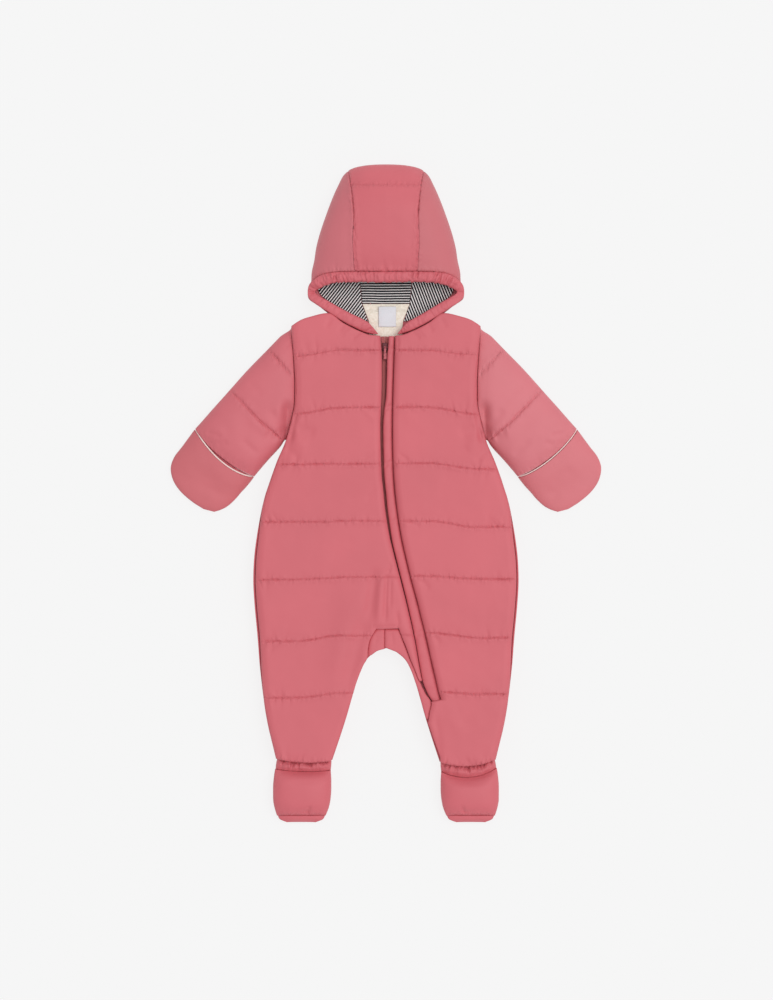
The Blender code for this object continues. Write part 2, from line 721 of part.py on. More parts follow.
def build_hood_casing():
    half = []
    for row in CASING:
        face, seam = Vector(row[:2]) * MM, Vector(row[2:4]) * MM
        low, high = row[4] * MM, row[5] * MM
        ring = []
        for across, up in CASING_RING:
            point = face.lerp(seam, across)
            ring.append((point.x, point.y, between(low, high, up)))
        half.append(ring)
    loft("hood_casing", half + mirrored(half[:-1])[::-1], TAFFETA)


# ---------------------------------------------------------------- linings and label

def lining_height(y):
    """The linings lie on the back wall at the neck and on the hood's back wall above it."""
    share = min(1, max(0, (y - NAPE_STEP[0]) / (NAPE_STEP[1] - NAPE_STEP[0])))
    return between(NECK_INSIDE, HOOD_WALL, share) + GAP


def lining_sheet(y_rows, edges):
    top, low = [], []
    for y in y_rows:
        xs = spread(*edges(y), (0, 0.5, 1))
        z = lining_height(y)
        low.append([(x, y, z) for x in xs])
        top.append([(x, y, z + LINING) for x in xs])
    return top, low


def build_linings():
    neck_rows = (162 * MM, 186 * MM, *NAPE_STEP, 206 * MM)

    def neck(y):
        return -NECK_LINING("half", y), NECK_LINING("half", y)

    def centre(y):
        half = SIDE_LINING("inner", y) - GAP
        return -half, half

    def side(y):
        return SIDE_LINING("inner", y) + GAP, SIDE_LINING("outer", y)

    wall("lining_neck", *lining_sheet(neck_rows, neck), FLEECE)
    wall("lining_centre", *lining_sheet([y * MM for y in (206.4, 222, 238)], centre), JERSEY)
    side_rows = (187 * MM, 192 * MM, *NAPE_STEP, 206 * MM, 214 * MM, 226 * MM, 238 * MM)
    both_sides("lining_side", *lining_sheet(side_rows, side), JERSEY)


def box(name, size, centre, looks, bevel):
    """A block with rounded edges."""
    form = bmesh.new()
    bmesh.ops.create_cube(form, size=1)
    bmesh.ops.scale(form, vec=size, verts=form.verts)
    bmesh.ops.translate(form, vec=centre, verts=form.verts)
    mesh = bpy.data.meshes.new(name)
    form.to_mesh(mesh)
    form.free()
    piece = place(mesh, name, looks)
    edge = piece.modifiers.new("Bevel", "BEVEL")
    edge.width = bevel
    edge.segments = 2
    return piece


def build_label():
    width, length, thick = LABEL
    z = NECK_INSIDE + GAP + LINING + GAP + thick / 2
    box("neck_label", (width, length, thick), (*LABEL_AT, z), WOVEN, bevel=0.2 * MM)


# ---------------------------------------------------------------- zip and placket

def zip_rows():
    ys = list(ZIP.column("y")[::-1])
    return [ys[0] - GAP, *ys[1:]]


def build_placket():
    """The flap over the zip: sewn down on the left front, its other edge free."""
    shares = (0, 0.12, 0.5, 0.88, 1)
    crown = (0.75, 1, 1, 0.6, 0.2)
    top, low = [], []
    for y in zip_rows():
        xs = spread(ZIP("flap", y), ZIP("right", y) - GAP, shares)
        base = 17.0 * MM + 1.2 * MM * puff(y)
        low.append([(x, y, base) for x in xs])
        top.append([(x, y, base + FLAP * (0.6 + 0.4 * c)) for x, c in zip(xs, crown)])
    wall("placket", top, low, TAFFETA)


def build_zip_tapes():
    """The two tapes meet under the flap, half the zip's width from its right edge."""
    bed = FRONT_INSIDE + 0.6 * MM

    def meeting(y):
        return ZIP("left", y) + 4.9 * MM

    for side in ("right", "left"):
        top, low = [], []
        for y in zip_rows():
            if side == "right":
                xs = (ZIP("left", y) + GAP, meeting(y) - HALF_GAP)
            else:
                xs = (meeting(y) + HALF_GAP, ZIP("right", y) - GAP)
            low.append([(x, y, bed) for x in xs])
            top.append([(x, y, bed + TAPE) for x in xs])
        wall(f"zip_tape_{side}", top, low, TAFFETA)


def cylinder(name, radius, length, looks, sides=20):
    """A cylinder along X through the pin of the slider."""
    form = bmesh.new()
    bmesh.ops.create_cone(form, cap_ends=True, segments=sides, radius1=radius, radius2=radius, depth=length)
    turn = Vector((0, 0, 1)).rotation_difference(Vector((1, 0, 0))).to_matrix()
    bmesh.ops.rotate(form, matrix=turn, verts=form.verts)
    mesh = bpy.data.meshes.new(name)
    form.to_mesh(mesh)
    form.free()
    return place(mesh, name, looks)


def combine(piece, tool, operation):
    """Applies a Boolean to a piece and keeps its tool in the collection of cutters."""
    change = piece.modifiers.new(tool.name, "BOOLEAN")
    change.operation = operation
    change.object = tool
    suit.objects.unlink(tool)
    cutters.objects.link(tool)
    tool.hide_render = True
    tool.display_type = "WIRE"


def build_slider():
    """The slider's body with two lugs that hold the pin."""
    body_at = (SLIDER_AT.x, SLIDER_AT.y + 0.4 * MM, SLIDER_TOP - SLIDER_BODY.z / 2)
    body = box("zip_slider", SLIDER_BODY, body_at, METAL, bevel=0.5 * MM)
    lug_z = SLIDER_AT.z + 1.1 * MM - LUG.z / 2
    for side in (-1, 1):
        lug_at = (SLIDER_AT.x + side * LUG_X, SLIDER_AT.y, lug_z)
        lug = box(f"lug_{side}", LUG, lug_at, METAL, bevel=0.2 * MM)
        combine(body, lug, "UNION")
    pin = cylinder("pin", PIN_RADIUS, 2 * LUG_X, METAL, sides=12)
    pin.location = SLIDER_AT
    combine(body, pin, "UNION")


def build_pull_tab():
    """The tab's origin is on the pin's axis; an eye turns on the pin with clearance."""
    tab = cylinder("pull_tab", EYE_RADIUS, EYE_WIDTH, METAL)
    tab.location = SLIDER_AT
    neck_at = SLIDER_AT + Vector((0, -EYE_BORE - TAB_NECK.y / 2 - 0.1 * MM, 0))
    grip_at = SLIDER_AT + Vector((0, -TAB_NECK.y - TAB_GRIP.y / 2, 0))
    neck = box("tab_neck", TAB_NECK, neck_at, METAL, bevel=0.15 * MM)
    grip = box("tab_grip", TAB_GRIP, grip_at, METAL, bevel=0.5 * MM)
    bore = cylinder("tab_bore", EYE_BORE, 2 * EYE_WIDTH, METAL)
    bore.location = SLIDER_AT
    combine(tab, neck, "UNION")
    combine(tab, grip, "UNION")
    combine(tab, bore, "DIFFERENCE")


clear_scene()
suit = new_collection("baby_snowsuit")
cutters = new_collection("cutters")

build_front_right()
build_front_left()
build_gusset()
build_back()
build_sleeves_and_ankles()
build_mittens()
build_booties()
build_hood_sides()
build_hood_centre()
build_hood_casing()
build_linings()
build_label()
build_placket()
build_zip_tapes()
build_slider()
build_pull_tab()
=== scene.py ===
"""Baby snowsuit laid flat on its back: quilted taffeta with gathered trims, jersey and fleece linings.

Metres, +Z up, on the floor at z = 0, with +Y from feet to hood and the wearer's left side at +X.
The tables are in millimetres, read by Table or stations; every other length is in metres.
Each cloth piece is a padded wall of its own that stands for the CAD node of the same name.
"""

import math
import random

import bpy
import numpy as np
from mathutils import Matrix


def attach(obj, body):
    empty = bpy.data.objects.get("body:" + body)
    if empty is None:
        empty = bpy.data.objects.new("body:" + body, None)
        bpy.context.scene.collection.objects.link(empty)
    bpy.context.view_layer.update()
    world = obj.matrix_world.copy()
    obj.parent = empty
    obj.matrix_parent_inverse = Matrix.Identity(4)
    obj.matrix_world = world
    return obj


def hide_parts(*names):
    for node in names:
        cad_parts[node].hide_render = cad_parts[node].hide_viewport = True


MM = 0.001
GAP = 0.3 * MM             # between two pieces at a seam

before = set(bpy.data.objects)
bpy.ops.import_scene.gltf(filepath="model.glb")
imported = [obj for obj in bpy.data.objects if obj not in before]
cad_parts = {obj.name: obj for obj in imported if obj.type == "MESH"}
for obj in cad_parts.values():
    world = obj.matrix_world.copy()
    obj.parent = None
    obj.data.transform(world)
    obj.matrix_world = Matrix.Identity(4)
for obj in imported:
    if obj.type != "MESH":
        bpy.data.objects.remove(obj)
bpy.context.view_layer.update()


# ---------------------------------------------------------------- curves and fields

def curve(keys, values, at):
    """A smooth curve through values at ascending keys that never overshoots them."""
    at = np.clip(at, keys[0], keys[-1])
    spans = np.diff(keys)
    steps = np.diff(values) / spans
    slopes = np.concatenate((steps[:1], (steps[:-1] + steps[1:]) / 2, steps[-1:]))
    turns = steps[:-1] * steps[1:] <= 0
    slopes[1:-1][turns] = 0
    limit = 3 * np.minimum(np.abs(np.append(steps, steps[-1])), np.abs(np.append(steps[0], steps)))
    slopes = np.clip(slopes, -limit, limit)
    k = np.clip(np.searchsorted(keys, at, side="right") - 1, 0, len(keys) - 2)
    t = (at - keys[k]) / spans[k]
    start = values[k] * (1 + 2 * t) * (1 - t) ** 2 + slopes[k] * spans[k] * t * (1 - t) ** 2
    end = values[k + 1] * t ** 2 * (3 - 2 * t) + slopes[k + 1] * spans[k] * t ** 2 * (t - 1)
    return start + end


class Table:
    """A short table in millimetres with named columns, read in metres along smooth curves."""

    def __init__(self, columns, *rows):
        self.columns = columns.split()
        self.rows = np.array(sorted(rows), float) * MM

    def __call__(self, column, key):
        return curve(self.rows[:, 0], self.rows[:, self.columns.index(column)], np.asarray(key, float))


def stations(rows, at):
    """Smooth values between the rows of a table in millimetres, at row numbers that needn't be whole."""
    rows = np.array(rows, float) * MM
    numbers = np.arange(len(rows), dtype=float)
    return [curve(numbers, rows[:, k], np.asarray(at, float)) for k in range(rows.shape[1])]


def between(a, b, share):
    return a + (b - a) * share


def step(value, start, end):
    """0 up to start, 1 from end on, and smooth between them."""
    share = np.clip((value - start) / (end - start), 0, 1)
    return share * share * (3 - 2 * share)


def rise(distance, reach):
    """A quarter round: 0 at an edge, 1 from reach inwards."""
    share = np.clip(distance / reach, 0, 1)
    return np.sqrt(1 - (1 - share) ** 2)


def dome(across, flatness=2.6):
    """1 in the middle of a padded width, 0 at both its edges."""
    return np.sqrt(np.clip(1 - np.abs(2 * across - 1) ** flatness, 0, 1))


def spaced(count, crowding=0.5):
    """Shares from 0 to 1, closer together at both ends."""
    even = np.linspace(0, 1, count)
    return even - crowding * np.sin(math.tau * even) / math.tau


def waves(x, y, size, seed):
    """Smooth unevenness between about -1 and 1, its swells about size apart."""
    chance = random.Random(seed)
    total = np.zeros(np.broadcast(x, y).shape)
    for _ in range(8):
        turn = chance.uniform(0, math.tau)
        length = size * chance.uniform(0.7, 1.7)
        phase = chance.uniform(0, math.tau)
        total += np.sin((x * math.cos(turn) + y * math.sin(turn)) * math.tau / length + phase)
    return total / 4


def crease(x, y, start, end, width):
    """1 along the middle of a soft crease between two points, 0 beyond its sides and ends."""
    run = np.subtract(end, start)
    length = math.hypot(*run)
    along = ((x - start[0]) * run[0] + (y - start[1]) * run[1]) / length ** 2
    across = ((y - start[1]) * run[0] - (x - start[0]) * run[1]) / length
    return np.exp(-(across / width) ** 2) * step(along, 0, 0.3) * step(1 - along, 0, 0.3)


def folds(x, y, table):
    """The sum of the creases in a table in millimetres: x0, y0, x1, y1, width, height."""
    total = np.zeros(np.broadcast(x, y).shape)
    for x0, y0, x1, y1, width, height in table:
        start, end = (x0 * MM, y0 * MM), (x1 * MM, y1 * MM)
        total += height * MM * crease(x, y, start, end, width * MM)
    return total


def metres(line):
    """A run of points in millimetres, in metres."""
    return [(a * MM, b * MM) for a, b in line]


def distance_to(x, y, line):
    """Distance in the plan from points to a run of points."""
    best = np.full(np.broadcast(x, y).shape, 1.0)
    for (x0, y0), (x1, y1) in zip(line, line[1:]):
        dx, dy = x1 - x0, y1 - y0
        share = np.clip(((x - x0) * dx + (y - y0) * dy) / (dx * dx + dy * dy), 0, 1)
        best = np.minimum(best, np.hypot(x - x0 - share * dx, y - y0 - share * dy))
    return best


def puckers(x, y, seam, seed, every, reach, depth, side=1, width=1.6 * MM, tilt=0.45):
    """Short creases that start on a stitched seam and run off it to its left (side 1) or right (-1).

    seam is a run of points. Spacing, length, depth and direction are all uneven.
    """
    chance = random.Random(seed)
    total = np.zeros(np.broadcast(x, y).shape)
    left = every * chance.uniform(0.3, 1)
    for start, end in zip(seam, seam[1:]):
        run = np.subtract(end, start)
        length = math.hypot(*run)
        while left < length:
            foot = np.add(start, run * (left / length))
            turn = math.atan2(run[1], run[0]) + side * math.pi / 2 + chance.uniform(-tilt, tilt)
            far = reach * chance.uniform(0.35, 1.4)
            deep = depth * chance.uniform(0.35, 1) * chance.choice((-1, -1, 0.7))
            thin = width * chance.uniform(0.7, 1.5)
            ahead = (x - foot[0]) * math.cos(turn) + (y - foot[1]) * math.sin(turn)
            across = (y - foot[1]) * math.cos(turn) - (x - foot[0]) * math.sin(turn)
            fade = np.clip(1 - ahead / far, 0, 1) ** 1.5 * step(ahead, -1.5 * MM, 1.5 * MM)
            spread_out = thin * (1 + 0.8 * np.clip(ahead / far, 0, 1))
            total += deep * np.exp(-(across / spread_out) ** 2) * fade
            left += every * chance.uniform(0.45, 1.7)
        left -= length
    return total


# ---------------------------------------------------------------- meshes

def points(x, y, z):
    """One array of points from arrays or numbers that fit together."""
    return np.stack(np.broadcast_arrays(x, y, z), axis=-1).astype(float)


def mesh_object(name, vertices, faces, look, smooth=True):
    mesh = bpy.data.meshes.new(name)
    mesh.from_pydata(np.asarray(vertices).tolist(), [], faces)
    mesh.materials.append(look)
    mesh.polygons.foreach_set("use_smooth", np.full(len(mesh.polygons), smooth))
    mesh.update()
    piece = bpy.data.objects.new(name, mesh)
    bpy.context.scene.collection.objects.link(piece)
    return piece


def wall(name, outer, inner, look, closed=False, kept=None):
    """A closed wall between two grids of points, rows first. closed joins each row's ends.

    kept, if given, is an array that is False for each cell to leave out.
    """
    rows, columns = outer.shape[:2]
    index = np.arange(rows * columns).reshape(rows, columns)
    here = index if closed else index[:, :-1]
    after = np.roll(index, -1, axis=1) if closed else index[:, 1:]
    cells = np.stack((here[:-1], after[:-1], after[1:], here[1:]), axis=-1)
    cells = cells.reshape(-1, 4) if kept is None else cells[kept]
    total = rows * columns
    starts = cells.ravel()
    ends = np.roll(cells, -1, axis=1).ravel()
    rim = ~np.isin(ends * total + starts, starts * total + ends)
    a, b = starts[rim], ends[rim]
    rims = np.stack((b, a, a + total, b + total), axis=-1)
    faces = np.concatenate((cells, cells[:, ::-1] + total, rims))
    vertices = np.concatenate((outer.reshape(-1, 3), inner.reshape(-1, 3)))
    used, faces = np.unique(faces, return_inverse=True)
    faces = outward(vertices[used], faces.reshape(-1, 4))
    return mesh_object(f"{name}_cloth", vertices[used], faces.tolist(), look)


def outward(vertices, faces):
    """The faces of a closed mesh, all turned over if they face into it."""
    a, b, c, d = (vertices[faces[:, k]] for k in range(4))
    volume = np.einsum("ij,ij->i", np.cross(a, b), c).sum() + np.einsum("ij,ij->i", np.cross(a, c), d).sum()
    return faces if volume > 0 else faces[:, ::-1]


def tube(name, rings, look):
    """A closed solid through rings with the same number of points, with a fan of faces at each end."""
    count, sides = rings.shape[:2]
    index = np.arange(count * sides).reshape(count, sides)
    after = np.roll(index, -1, axis=1)
    faces = np.stack((index[:-1], after[:-1], after[1:], index[1:]), axis=-1).reshape(-1, 4)
    tip = np.full(sides, count * sides)
    faces = np.concatenate((
        faces,
        np.stack((after[0], index[0], tip, tip), axis=-1),
        np.stack((index[-1], after[-1], tip + 1, tip + 1), axis=-1),
    ))
    vertices = np.concatenate((rings.reshape(-1, 3), [rings[0].mean(0)], [rings[-1].mean(0)]))
    trimmed = [list(dict.fromkeys(face)) for face in outward(vertices, faces).tolist()]
    return mesh_object(f"{name}_cloth", vertices, trimmed, look)


# ---------------------------------------------------------------- materials

class Nodes:
    """Adds nodes to a new material and links them."""

    def __init__(self, name):
        self.material = bpy.data.materials.new(name)
        self.material.use_nodes = True
        self.tree = self.material.node_tree
        self.shader = self.tree.nodes["Principled BSDF"]

    def add(self, kind, links=(), **settings):
        """A node with sockets set by name or number, and links as {socket: output}."""
        node = self.tree.nodes.new(kind)
        for key, value in settings.items():
            setattr(node, key, value)
        for socket, value in dict(links).items():
            if isinstance(value, bpy.types.NodeSocket):
                self.tree.links.new(value, node.inputs[socket])
            else:
                node.inputs[socket].default_value = value
        return node

    def shade(self, **values):
        """Sets the shader's sockets, their names written with underscores."""
        for key, value in values.items():
            socket = self.shader.inputs[key.replace("_", " ")]
            if isinstance(value, bpy.types.NodeSocket):
                self.tree.links.new(value, socket)
            else:
                socket.default_value = value

    def place(self):
        return self.add("ShaderNodeTexCoord").outputs["Object"]

    def ramp(self, factor, *stops):
        """A colour ramp between two stops of (position, colour)."""
        node = self.add("ShaderNodeValToRGB", {"Fac": factor})
        for stop, (position, colour) in zip(node.color_ramp.elements, stops):
            stop.position = position
            stop.color = (*colour, 1)
        return node.outputs["Color"]

    def threads(self, place, pitch, turn=0.0):
        """A plain weave: two sets of threads crossing at a right angle, as a height from 0 to 1."""
        turned = self.add("ShaderNodeMapping", {"Vector": place, "Rotation": (0, 0, turn)}).outputs[0]
        sets = []
        for direction in ("X", "Y"):
            wave = self.add(
                "ShaderNodeTexWave",
                {"Vector": turned, "Scale": 0.314 / pitch, "Distortion": 0.4, "Detail": 1.0},
                bands_direction=direction,
            )
            sets.append(wave.outputs["Fac"])
        return self.add("ShaderNodeMath", {0: sets[0], 1: sets[1]}, operation="MULTIPLY").outputs[0]

    def bump(self, height, distance, strength, under=None):
        links = {"Height": height, "Distance": distance, "Strength": strength}
        if under is not None:
            links["Normal"] = under
        return self.add("ShaderNodeBump", links).outputs["Normal"]


def tint(colour, *factors):
    """A colour times one factor, or times one for each channel."""
    return tuple(min(1.0, c * f) for c, f in zip(colour, factors * (3 // len(factors))))


def taffeta(name, colour, turn=0.0):
    """Light, closely woven shell cloth with a low sheen and a faint crinkle from its filling."""
    nodes = Nodes(name)
    place = nodes.place()
    patches = nodes.add("ShaderNodeTexNoise", {"Vector": place, "Scale": 14.0, "Detail": 3.0})
    crinkle = nodes.add("ShaderNodeTexNoise", {"Vector": place, "Scale": 70.0, "Detail": 2.0})
    weave = nodes.threads(place, 0.45 * MM, turn)
    drawn = nodes.add(
        "ShaderNodeMapping", {"Vector": place, "Rotation": (0, 0, turn), "Scale": (1, 0.35, 1)}
    ).outputs[0]
    wrinkle = nodes.add("ShaderNodeTexNoise", {"Vector": drawn, "Scale": 330.0, "Detail": 1.5}).outputs["Fac"]
    near_seam = nodes.add("ShaderNodeAttribute", attribute_name="gathered").outputs["Fac"]
    gathers = nodes.add("ShaderNodeMath", {0: wrinkle, 1: near_seam}, operation="MULTIPLY").outputs[0]
    soft = nodes.bump(crinkle.outputs["Fac"], 0.7 * MM, 0.22)
    nodes.shade(
        Base_Color=nodes.ramp(patches.outputs["Fac"], (0.3, tint(colour, 0.965)), (0.7, tint(colour, 1.035))),
        Roughness=0.58,
        Specular_IOR_Level=0.4,
        Sheen_Weight=0.08,
        Sheen_Roughness=0.35,
        Sheen_Tint=(1.0, 0.75, 0.75, 1),
        Normal=nodes.bump(weave, 0.05 * MM, 0.5, under=nodes.bump(gathers, 2.2 * MM, 0.9, under=soft)),
    )
    return nodes.material


def jersey(name, turn, dark=0.64):
    """Jersey with wavy navy-black and white stripes, turned from level; dark is the black's share."""
    pitch = 2.75 * MM
    nodes = Nodes(name)
    place = nodes.place()
    turned = nodes.add("ShaderNodeMapping", {"Vector": place, "Rotation": (0, 0, turn)}).outputs[0]
    wave = nodes.add(
        "ShaderNodeTexWave",
        {"Vector": turned, "Scale": 0.314 / pitch, "Distortion": 2.2, "Detail": 1.5, "Detail Scale": 0.25},
        bands_direction="Y",
    )
    black, white = (0.005, 0.006, 0.010), (0.94, 0.93, 0.92)
    stripe = nodes.ramp(wave.outputs["Fac"], (dark, black), (dark + 0.12, white))
    loops = nodes.threads(turned, 0.9 * MM)
    nodes.shade(
        Base_Color=stripe, Roughness=0.9, Sheen_Weight=0.2, Normal=nodes.bump(loops, 0.25 * MM, 0.8)
    )
    return nodes.material


def fleece(name):
    """Cream pile cloth."""
    nodes = Nodes(name)
    place = nodes.place()
    tufts = nodes.add(
        "ShaderNodeTexNoise", {"Vector": place, "Scale": 420.0, "Detail": 4.0, "Roughness": 0.7}
    )
    nodes.shade(
        Base_Color=nodes.ramp(tufts.outputs["Fac"], (0.3, (0.80, 0.73, 0.60)), (0.7, (0.97, 0.92, 0.82))),
        Roughness=0.95,
        Sheen_Weight=0.5,
        Normal=nodes.bump(tufts.outputs["Fac"], 0.5 * MM, 0.6),
    )
    return nodes.material


def ribbon(name, colour, pitch, roughness=0.6):
    """A woven narrow fabric: piping, zip tape or label."""
    nodes = Nodes(name)
    place = nodes.place()
    weave = nodes.threads(place, pitch)
    nodes.shade(
        Base_Color=nodes.ramp(weave, (0.0, tint(colour, 0.85)), (0.6, colour)),
        Roughness=roughness,
        Sheen_Weight=0.1,
        Normal=nodes.bump(weave, 0.12 * MM, 0.8),
    )
    return nodes.material


def enamel(name, colour):
    """Painted metal, worn on the grip."""
    nodes = Nodes(name)
    place = nodes.place()
    wear = nodes.add("ShaderNodeTexNoise", {"Vector": place, "Scale": 600.0, "Detail": 4.0})
    nodes.shade(
        Base_Color=nodes.ramp(wear.outputs["Fac"], (0.4, colour), (0.75, tint(colour, 1.5))),
        Metallic=0.6,
        Roughness=0.36,
        Normal=nodes.bump(wear.outputs["Fac"], 0.05 * MM, 0.3),
    )
    return nodes.material


ROSE = (0.620, 0.134, 0.160)
SHELL = taffeta("shell_taffeta", ROSE)
# Painted sheen: the arms, mittens and hood sides get copies of the shell colour tinted paler than the body
# for the light their sheen catches, by another amount on the left (1) and the right (-1); their weave is
# turned on the bias
PAINTED_SHEEN_ARM = {
    1: taffeta("taffeta_left_arm_painted_sheen", tint(ROSE, 1.06, 1.36, 1.31), turn=0.75),
    -1: taffeta("taffeta_right_arm_painted_sheen", tint(ROSE, 0.99, 1.09, 1.08), turn=-0.75),
}
# The mittens' colours carry painted sheen too
PAINTED_SHEEN_MITTEN = {
    1: taffeta("taffeta_left_mitten", tint(ROSE, 1.05, 1.31, 1.25), turn=0.7),
    -1: taffeta("taffeta_right_mitten", tint(ROSE, 0.95, 1.07, 1.02), turn=-0.7),
}
# The hood sides' colours carry painted sheen too
PAINTED_SHEEN_HOOD = {
    1: taffeta("taffeta_left_hood", tint(ROSE, 0.92, 1.12, 1.07), turn=0.4),
    -1: taffeta("taffeta_right_hood", tint(ROSE, 0.97, 1.17, 1.14), turn=-0.4),
}
TRIM = ribbon("piping", (1.0, 0.76, 0.72), 0.5 * MM)
TAPE = ribbon("zip_tape", (0.50, 0.13, 0.13), 0.6 * MM, roughness=0.8)
COIL = ribbon("zip_coil", (0.36, 0.075, 0.085), 0.5 * MM, roughness=0.4)
WOVEN = ribbon("woven_label", (0.86, 0.87, 0.92), 0.45 * MM)
FLEECE = fleece("fleece")
JERSEY = {
    0: jersey("striped_jersey_centre", 0.0, dark=0.74),
    1: jersey("striped_jersey_left", math.radians(68)),
    -1: jersey("striped_jersey_right", math.radians(-52)),
}
METAL = enamel("zip_metal", (0.09, 0.02, 0.025))
PULL = enamel("pull_metal", (0.27, 0.065, 0.075))


# ---------------------------------------------------------------- attaching the pieces

SIDES = ((1, "left"), (-1, "right"))    # the wearer's


def finished(piece):
    """The piece is a sheet of cloth that stands for its node, laid down with the suit, its node hidden."""
    node = piece.name.removesuffix("_cloth")
    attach(piece, "suit")
    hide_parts(node)


def mirrored(name, outer, inner, look, side, **form):
    """A wall built for the left side, mirrored where side is -1."""
    return wall(name, outer * (side, 1, 1), inner * (side, 1, 1), look, **form)


def gathered(piece, seams, reach=4 * MM):
    """Marks how near each point is to a stitched seam, in the plan, for the wrinkles of its material."""
    flat = np.empty(3 * len(piece.data.vertices))
    piece.data.vertices.foreach_get("co", flat)
    x, y, _ = flat.reshape(-1, 3).T
    near = np.zeros(len(x))
    for seam in seams:
        near = np.maximum(near, np.exp(-(distance_to(x, y, seam) / reach) ** 2))
    piece.data.attributes.new("gathered", "FLOAT", "POINT").data.foreach_set("value", near)


def attached(piece):
    """A small piece that goes with the suit, beside what stands for a node."""
    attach(piece, "suit")


# ---------------------------------------------------------------- body

BACK_INSIDE = 12.0 * MM
NECK_INSIDE = 8.5 * MM
FRONT_INSIDE = 12.6 * MM
SEAM_HEIGHT = 12.1 * MM    # front wall at a quilting line
CREST_HEIGHT = 14.2 * MM   # front wall between two lines
RIM = 3.0 * MM
ARMHOLE_RIM = 7.0 * MM

BODY = Table(
    "y half",
    (196, 63), (187, 95.5), (181, 102.7), (152, 100.7), (119, 99), (98, 99.3), (79, 103), (58, 108.5),
    (34, 118.5), (10, 127), (-11, 133.5), (-35, 138), (-67, 142.5), (-94, 143.7), (-118, 142.5),
    (-156, 139), (-192, 136.2), (-225, 132.5), (-251, 128), (-274, 122.5), (-290, 118.6),
)
INNER_LEG = Table(
    "y half",
    (-168, 0.5), (-170, 8), (-173, 13), (-179, 20), (-188, 25.5), (-206, 32.3), (-222, 37),
    (-241, 42.5), (-261, 49), (-290, 59),
)
NECK = Table(
    "x y",
    (0, 170.6), (16, 171.2), (26.5, 174.6), (45.5, 184), (63, 195), (80, 191.6), (92, 187.6), (102.7, 181),
)
NAPE = Table("x y", (0, 195.8), (63, 195.8), (80, 191.6), (92, 187.6), (102.7, 181))
# The zip: the right front's edge, the flap's free edge, and the seam that holds the flap
ZIP = Table(
    "y front flap seam",
    (171, -6, 3, 9.8), (160, -5, 2.5, 9.4), (150, -4.4, 1.5, 9.1), (124, -4.2, 0.8, 8.2),
    (106, -4.6, 0.2, 7.7), (89, -5.4, -2, 7.4), (71, -5.9, -3, 7.2), (36, -5.2, -2.4, 7.8),
    (19, -4.4, -1.8, 8.6), (2, -2.6, -0.1, 9.9), (-16, -0.8, 1.6, 12), (-33, 1.6, 3.9, 14.3),
    (-51, 4.9, 6.6, 17.6), (-68, 9.1, 10.5, 21.5), (-86, 13.8, 15, 25.7), (-120, 22.4, 23.4, 34.9),
    (-155, 30.3, 31, 43.5), (-190, 36.7, 37.2, 51.5), (-203, 39.4, 39.8, 54.6), (-216, 44.4, 44.8, 57.6),
    (-225, 49.6, 50, 59.8),
)
GUSSET = Table(
    "y right left",
    (-146.5, -10.5, 13.7), (-157.5, -17, 18), (-168, -19.3, 22.2), (-179, -20, 26.3), (-189, -25.5, 30.6),
    (-200, -30, 35), (-216, -35, 42.3), (-228, -38.8, 49.4), (-238, -41.6, 47.4), (-247, -44.2, 46.2),
)
GUSSET_TOP = -146.5 * MM
GUSSET_ENDS = {1: -244 * MM, -1: -175 * MM}
GUSSET_CENTRE = -1.5 * MM
CROTCH = -168 * MM
LEG_SEAM_TOP = {1: -247 * MM, -1: -179 * MM}    # where a front meets the back, below the gusset
STRIP_END = -203 * MM
ZIP_END = -225.5 * MM
NECK_DIP = 171 * MM        # the fronts' top edge at the zip
SHOULDER = 181 * MM        # the armhole's top
# Each line across the body, from the first quilting line to the hem: its height near the zip and
# at the side seam, on the right front and on the left front
LINES = (
    # right zip, right side, left zip, left side
    (155, 148.5, 155, 150),
    (93, 86, 93, 85.5),
    (32, 31.5, 32.5, 26.5),
    (-30, -31, -30, -36.5),
    (-90.5, -93.5, -89.5, -92.5),
    (-153.5, -160, -151, -156),
    (-215.5, -221, -214.5, -217),
    (-291, -288, -296, -288.5),
)
# How strongly each of those lines is drawn in, from the first quilting line to the hem
LINE_PULL = {-1: (0.9, 0.75, 0.8, 0.7, 0.5, 0.95, 0.8, 1), 1: (0.8, 0.75, 0.8, 0.6, 0.9, 1, 0.9, 1)}
CHANNEL_ROWS = 32
YOKE_ROWS = 20


def hem_height(x, side):
    """Height of the hem, which sags with the ankle casing below it."""
    x0, y0, x1, y1, bow, _ = (value * MM for value in ANKLE[side][0])
    across = np.clip((np.abs(x) - x0) / (x1 - x0), 0, 1)
    return between(y0, y1, across) - bow * 4 * across * (1 - across) + GAP


def casing_end(x, side):
    """Height of the ankle casing's lower seam, where the bootie starts."""
    x0, y0, x1, y1, bow, _ = (value * MM for value in ANKLE[side][-1])
    across = np.clip((x - x0) / (x1 - x0), 0, 1)
    return between(y0, y1, across) - bow * 4 * across * (1 - across) - GAP


def line_heights(side):
    """Heights of the lines near the zip and at the side seam."""
    near, far = (0, 1) if side < 0 else (2, 3)
    rows = np.array(LINES) * MM
    return rows[:, near], rows[:, far]


def row_heights(levels, top, first, lines):
    """Height of each row: from a top edge down to first, then through the heights of the lines."""
    numbers = np.arange(1, len(lines) + 1, dtype=float)
    return np.where(levels < 1, between(top, first, levels), np.interp(levels, numbers, lines))


def body_levels():
    """Row numbers down the body: 0 is the top edge, each whole number from 1 the next line."""
    yoke = np.linspace(0, 1, YOKE_ROWS, endpoint=False)
    channels = [k + spaced(CHANNEL_ROWS + 1, 0.7)[:-1] for k in range(1, len(LINES))]
    return np.concatenate((yoke, *channels, [len(LINES)]))


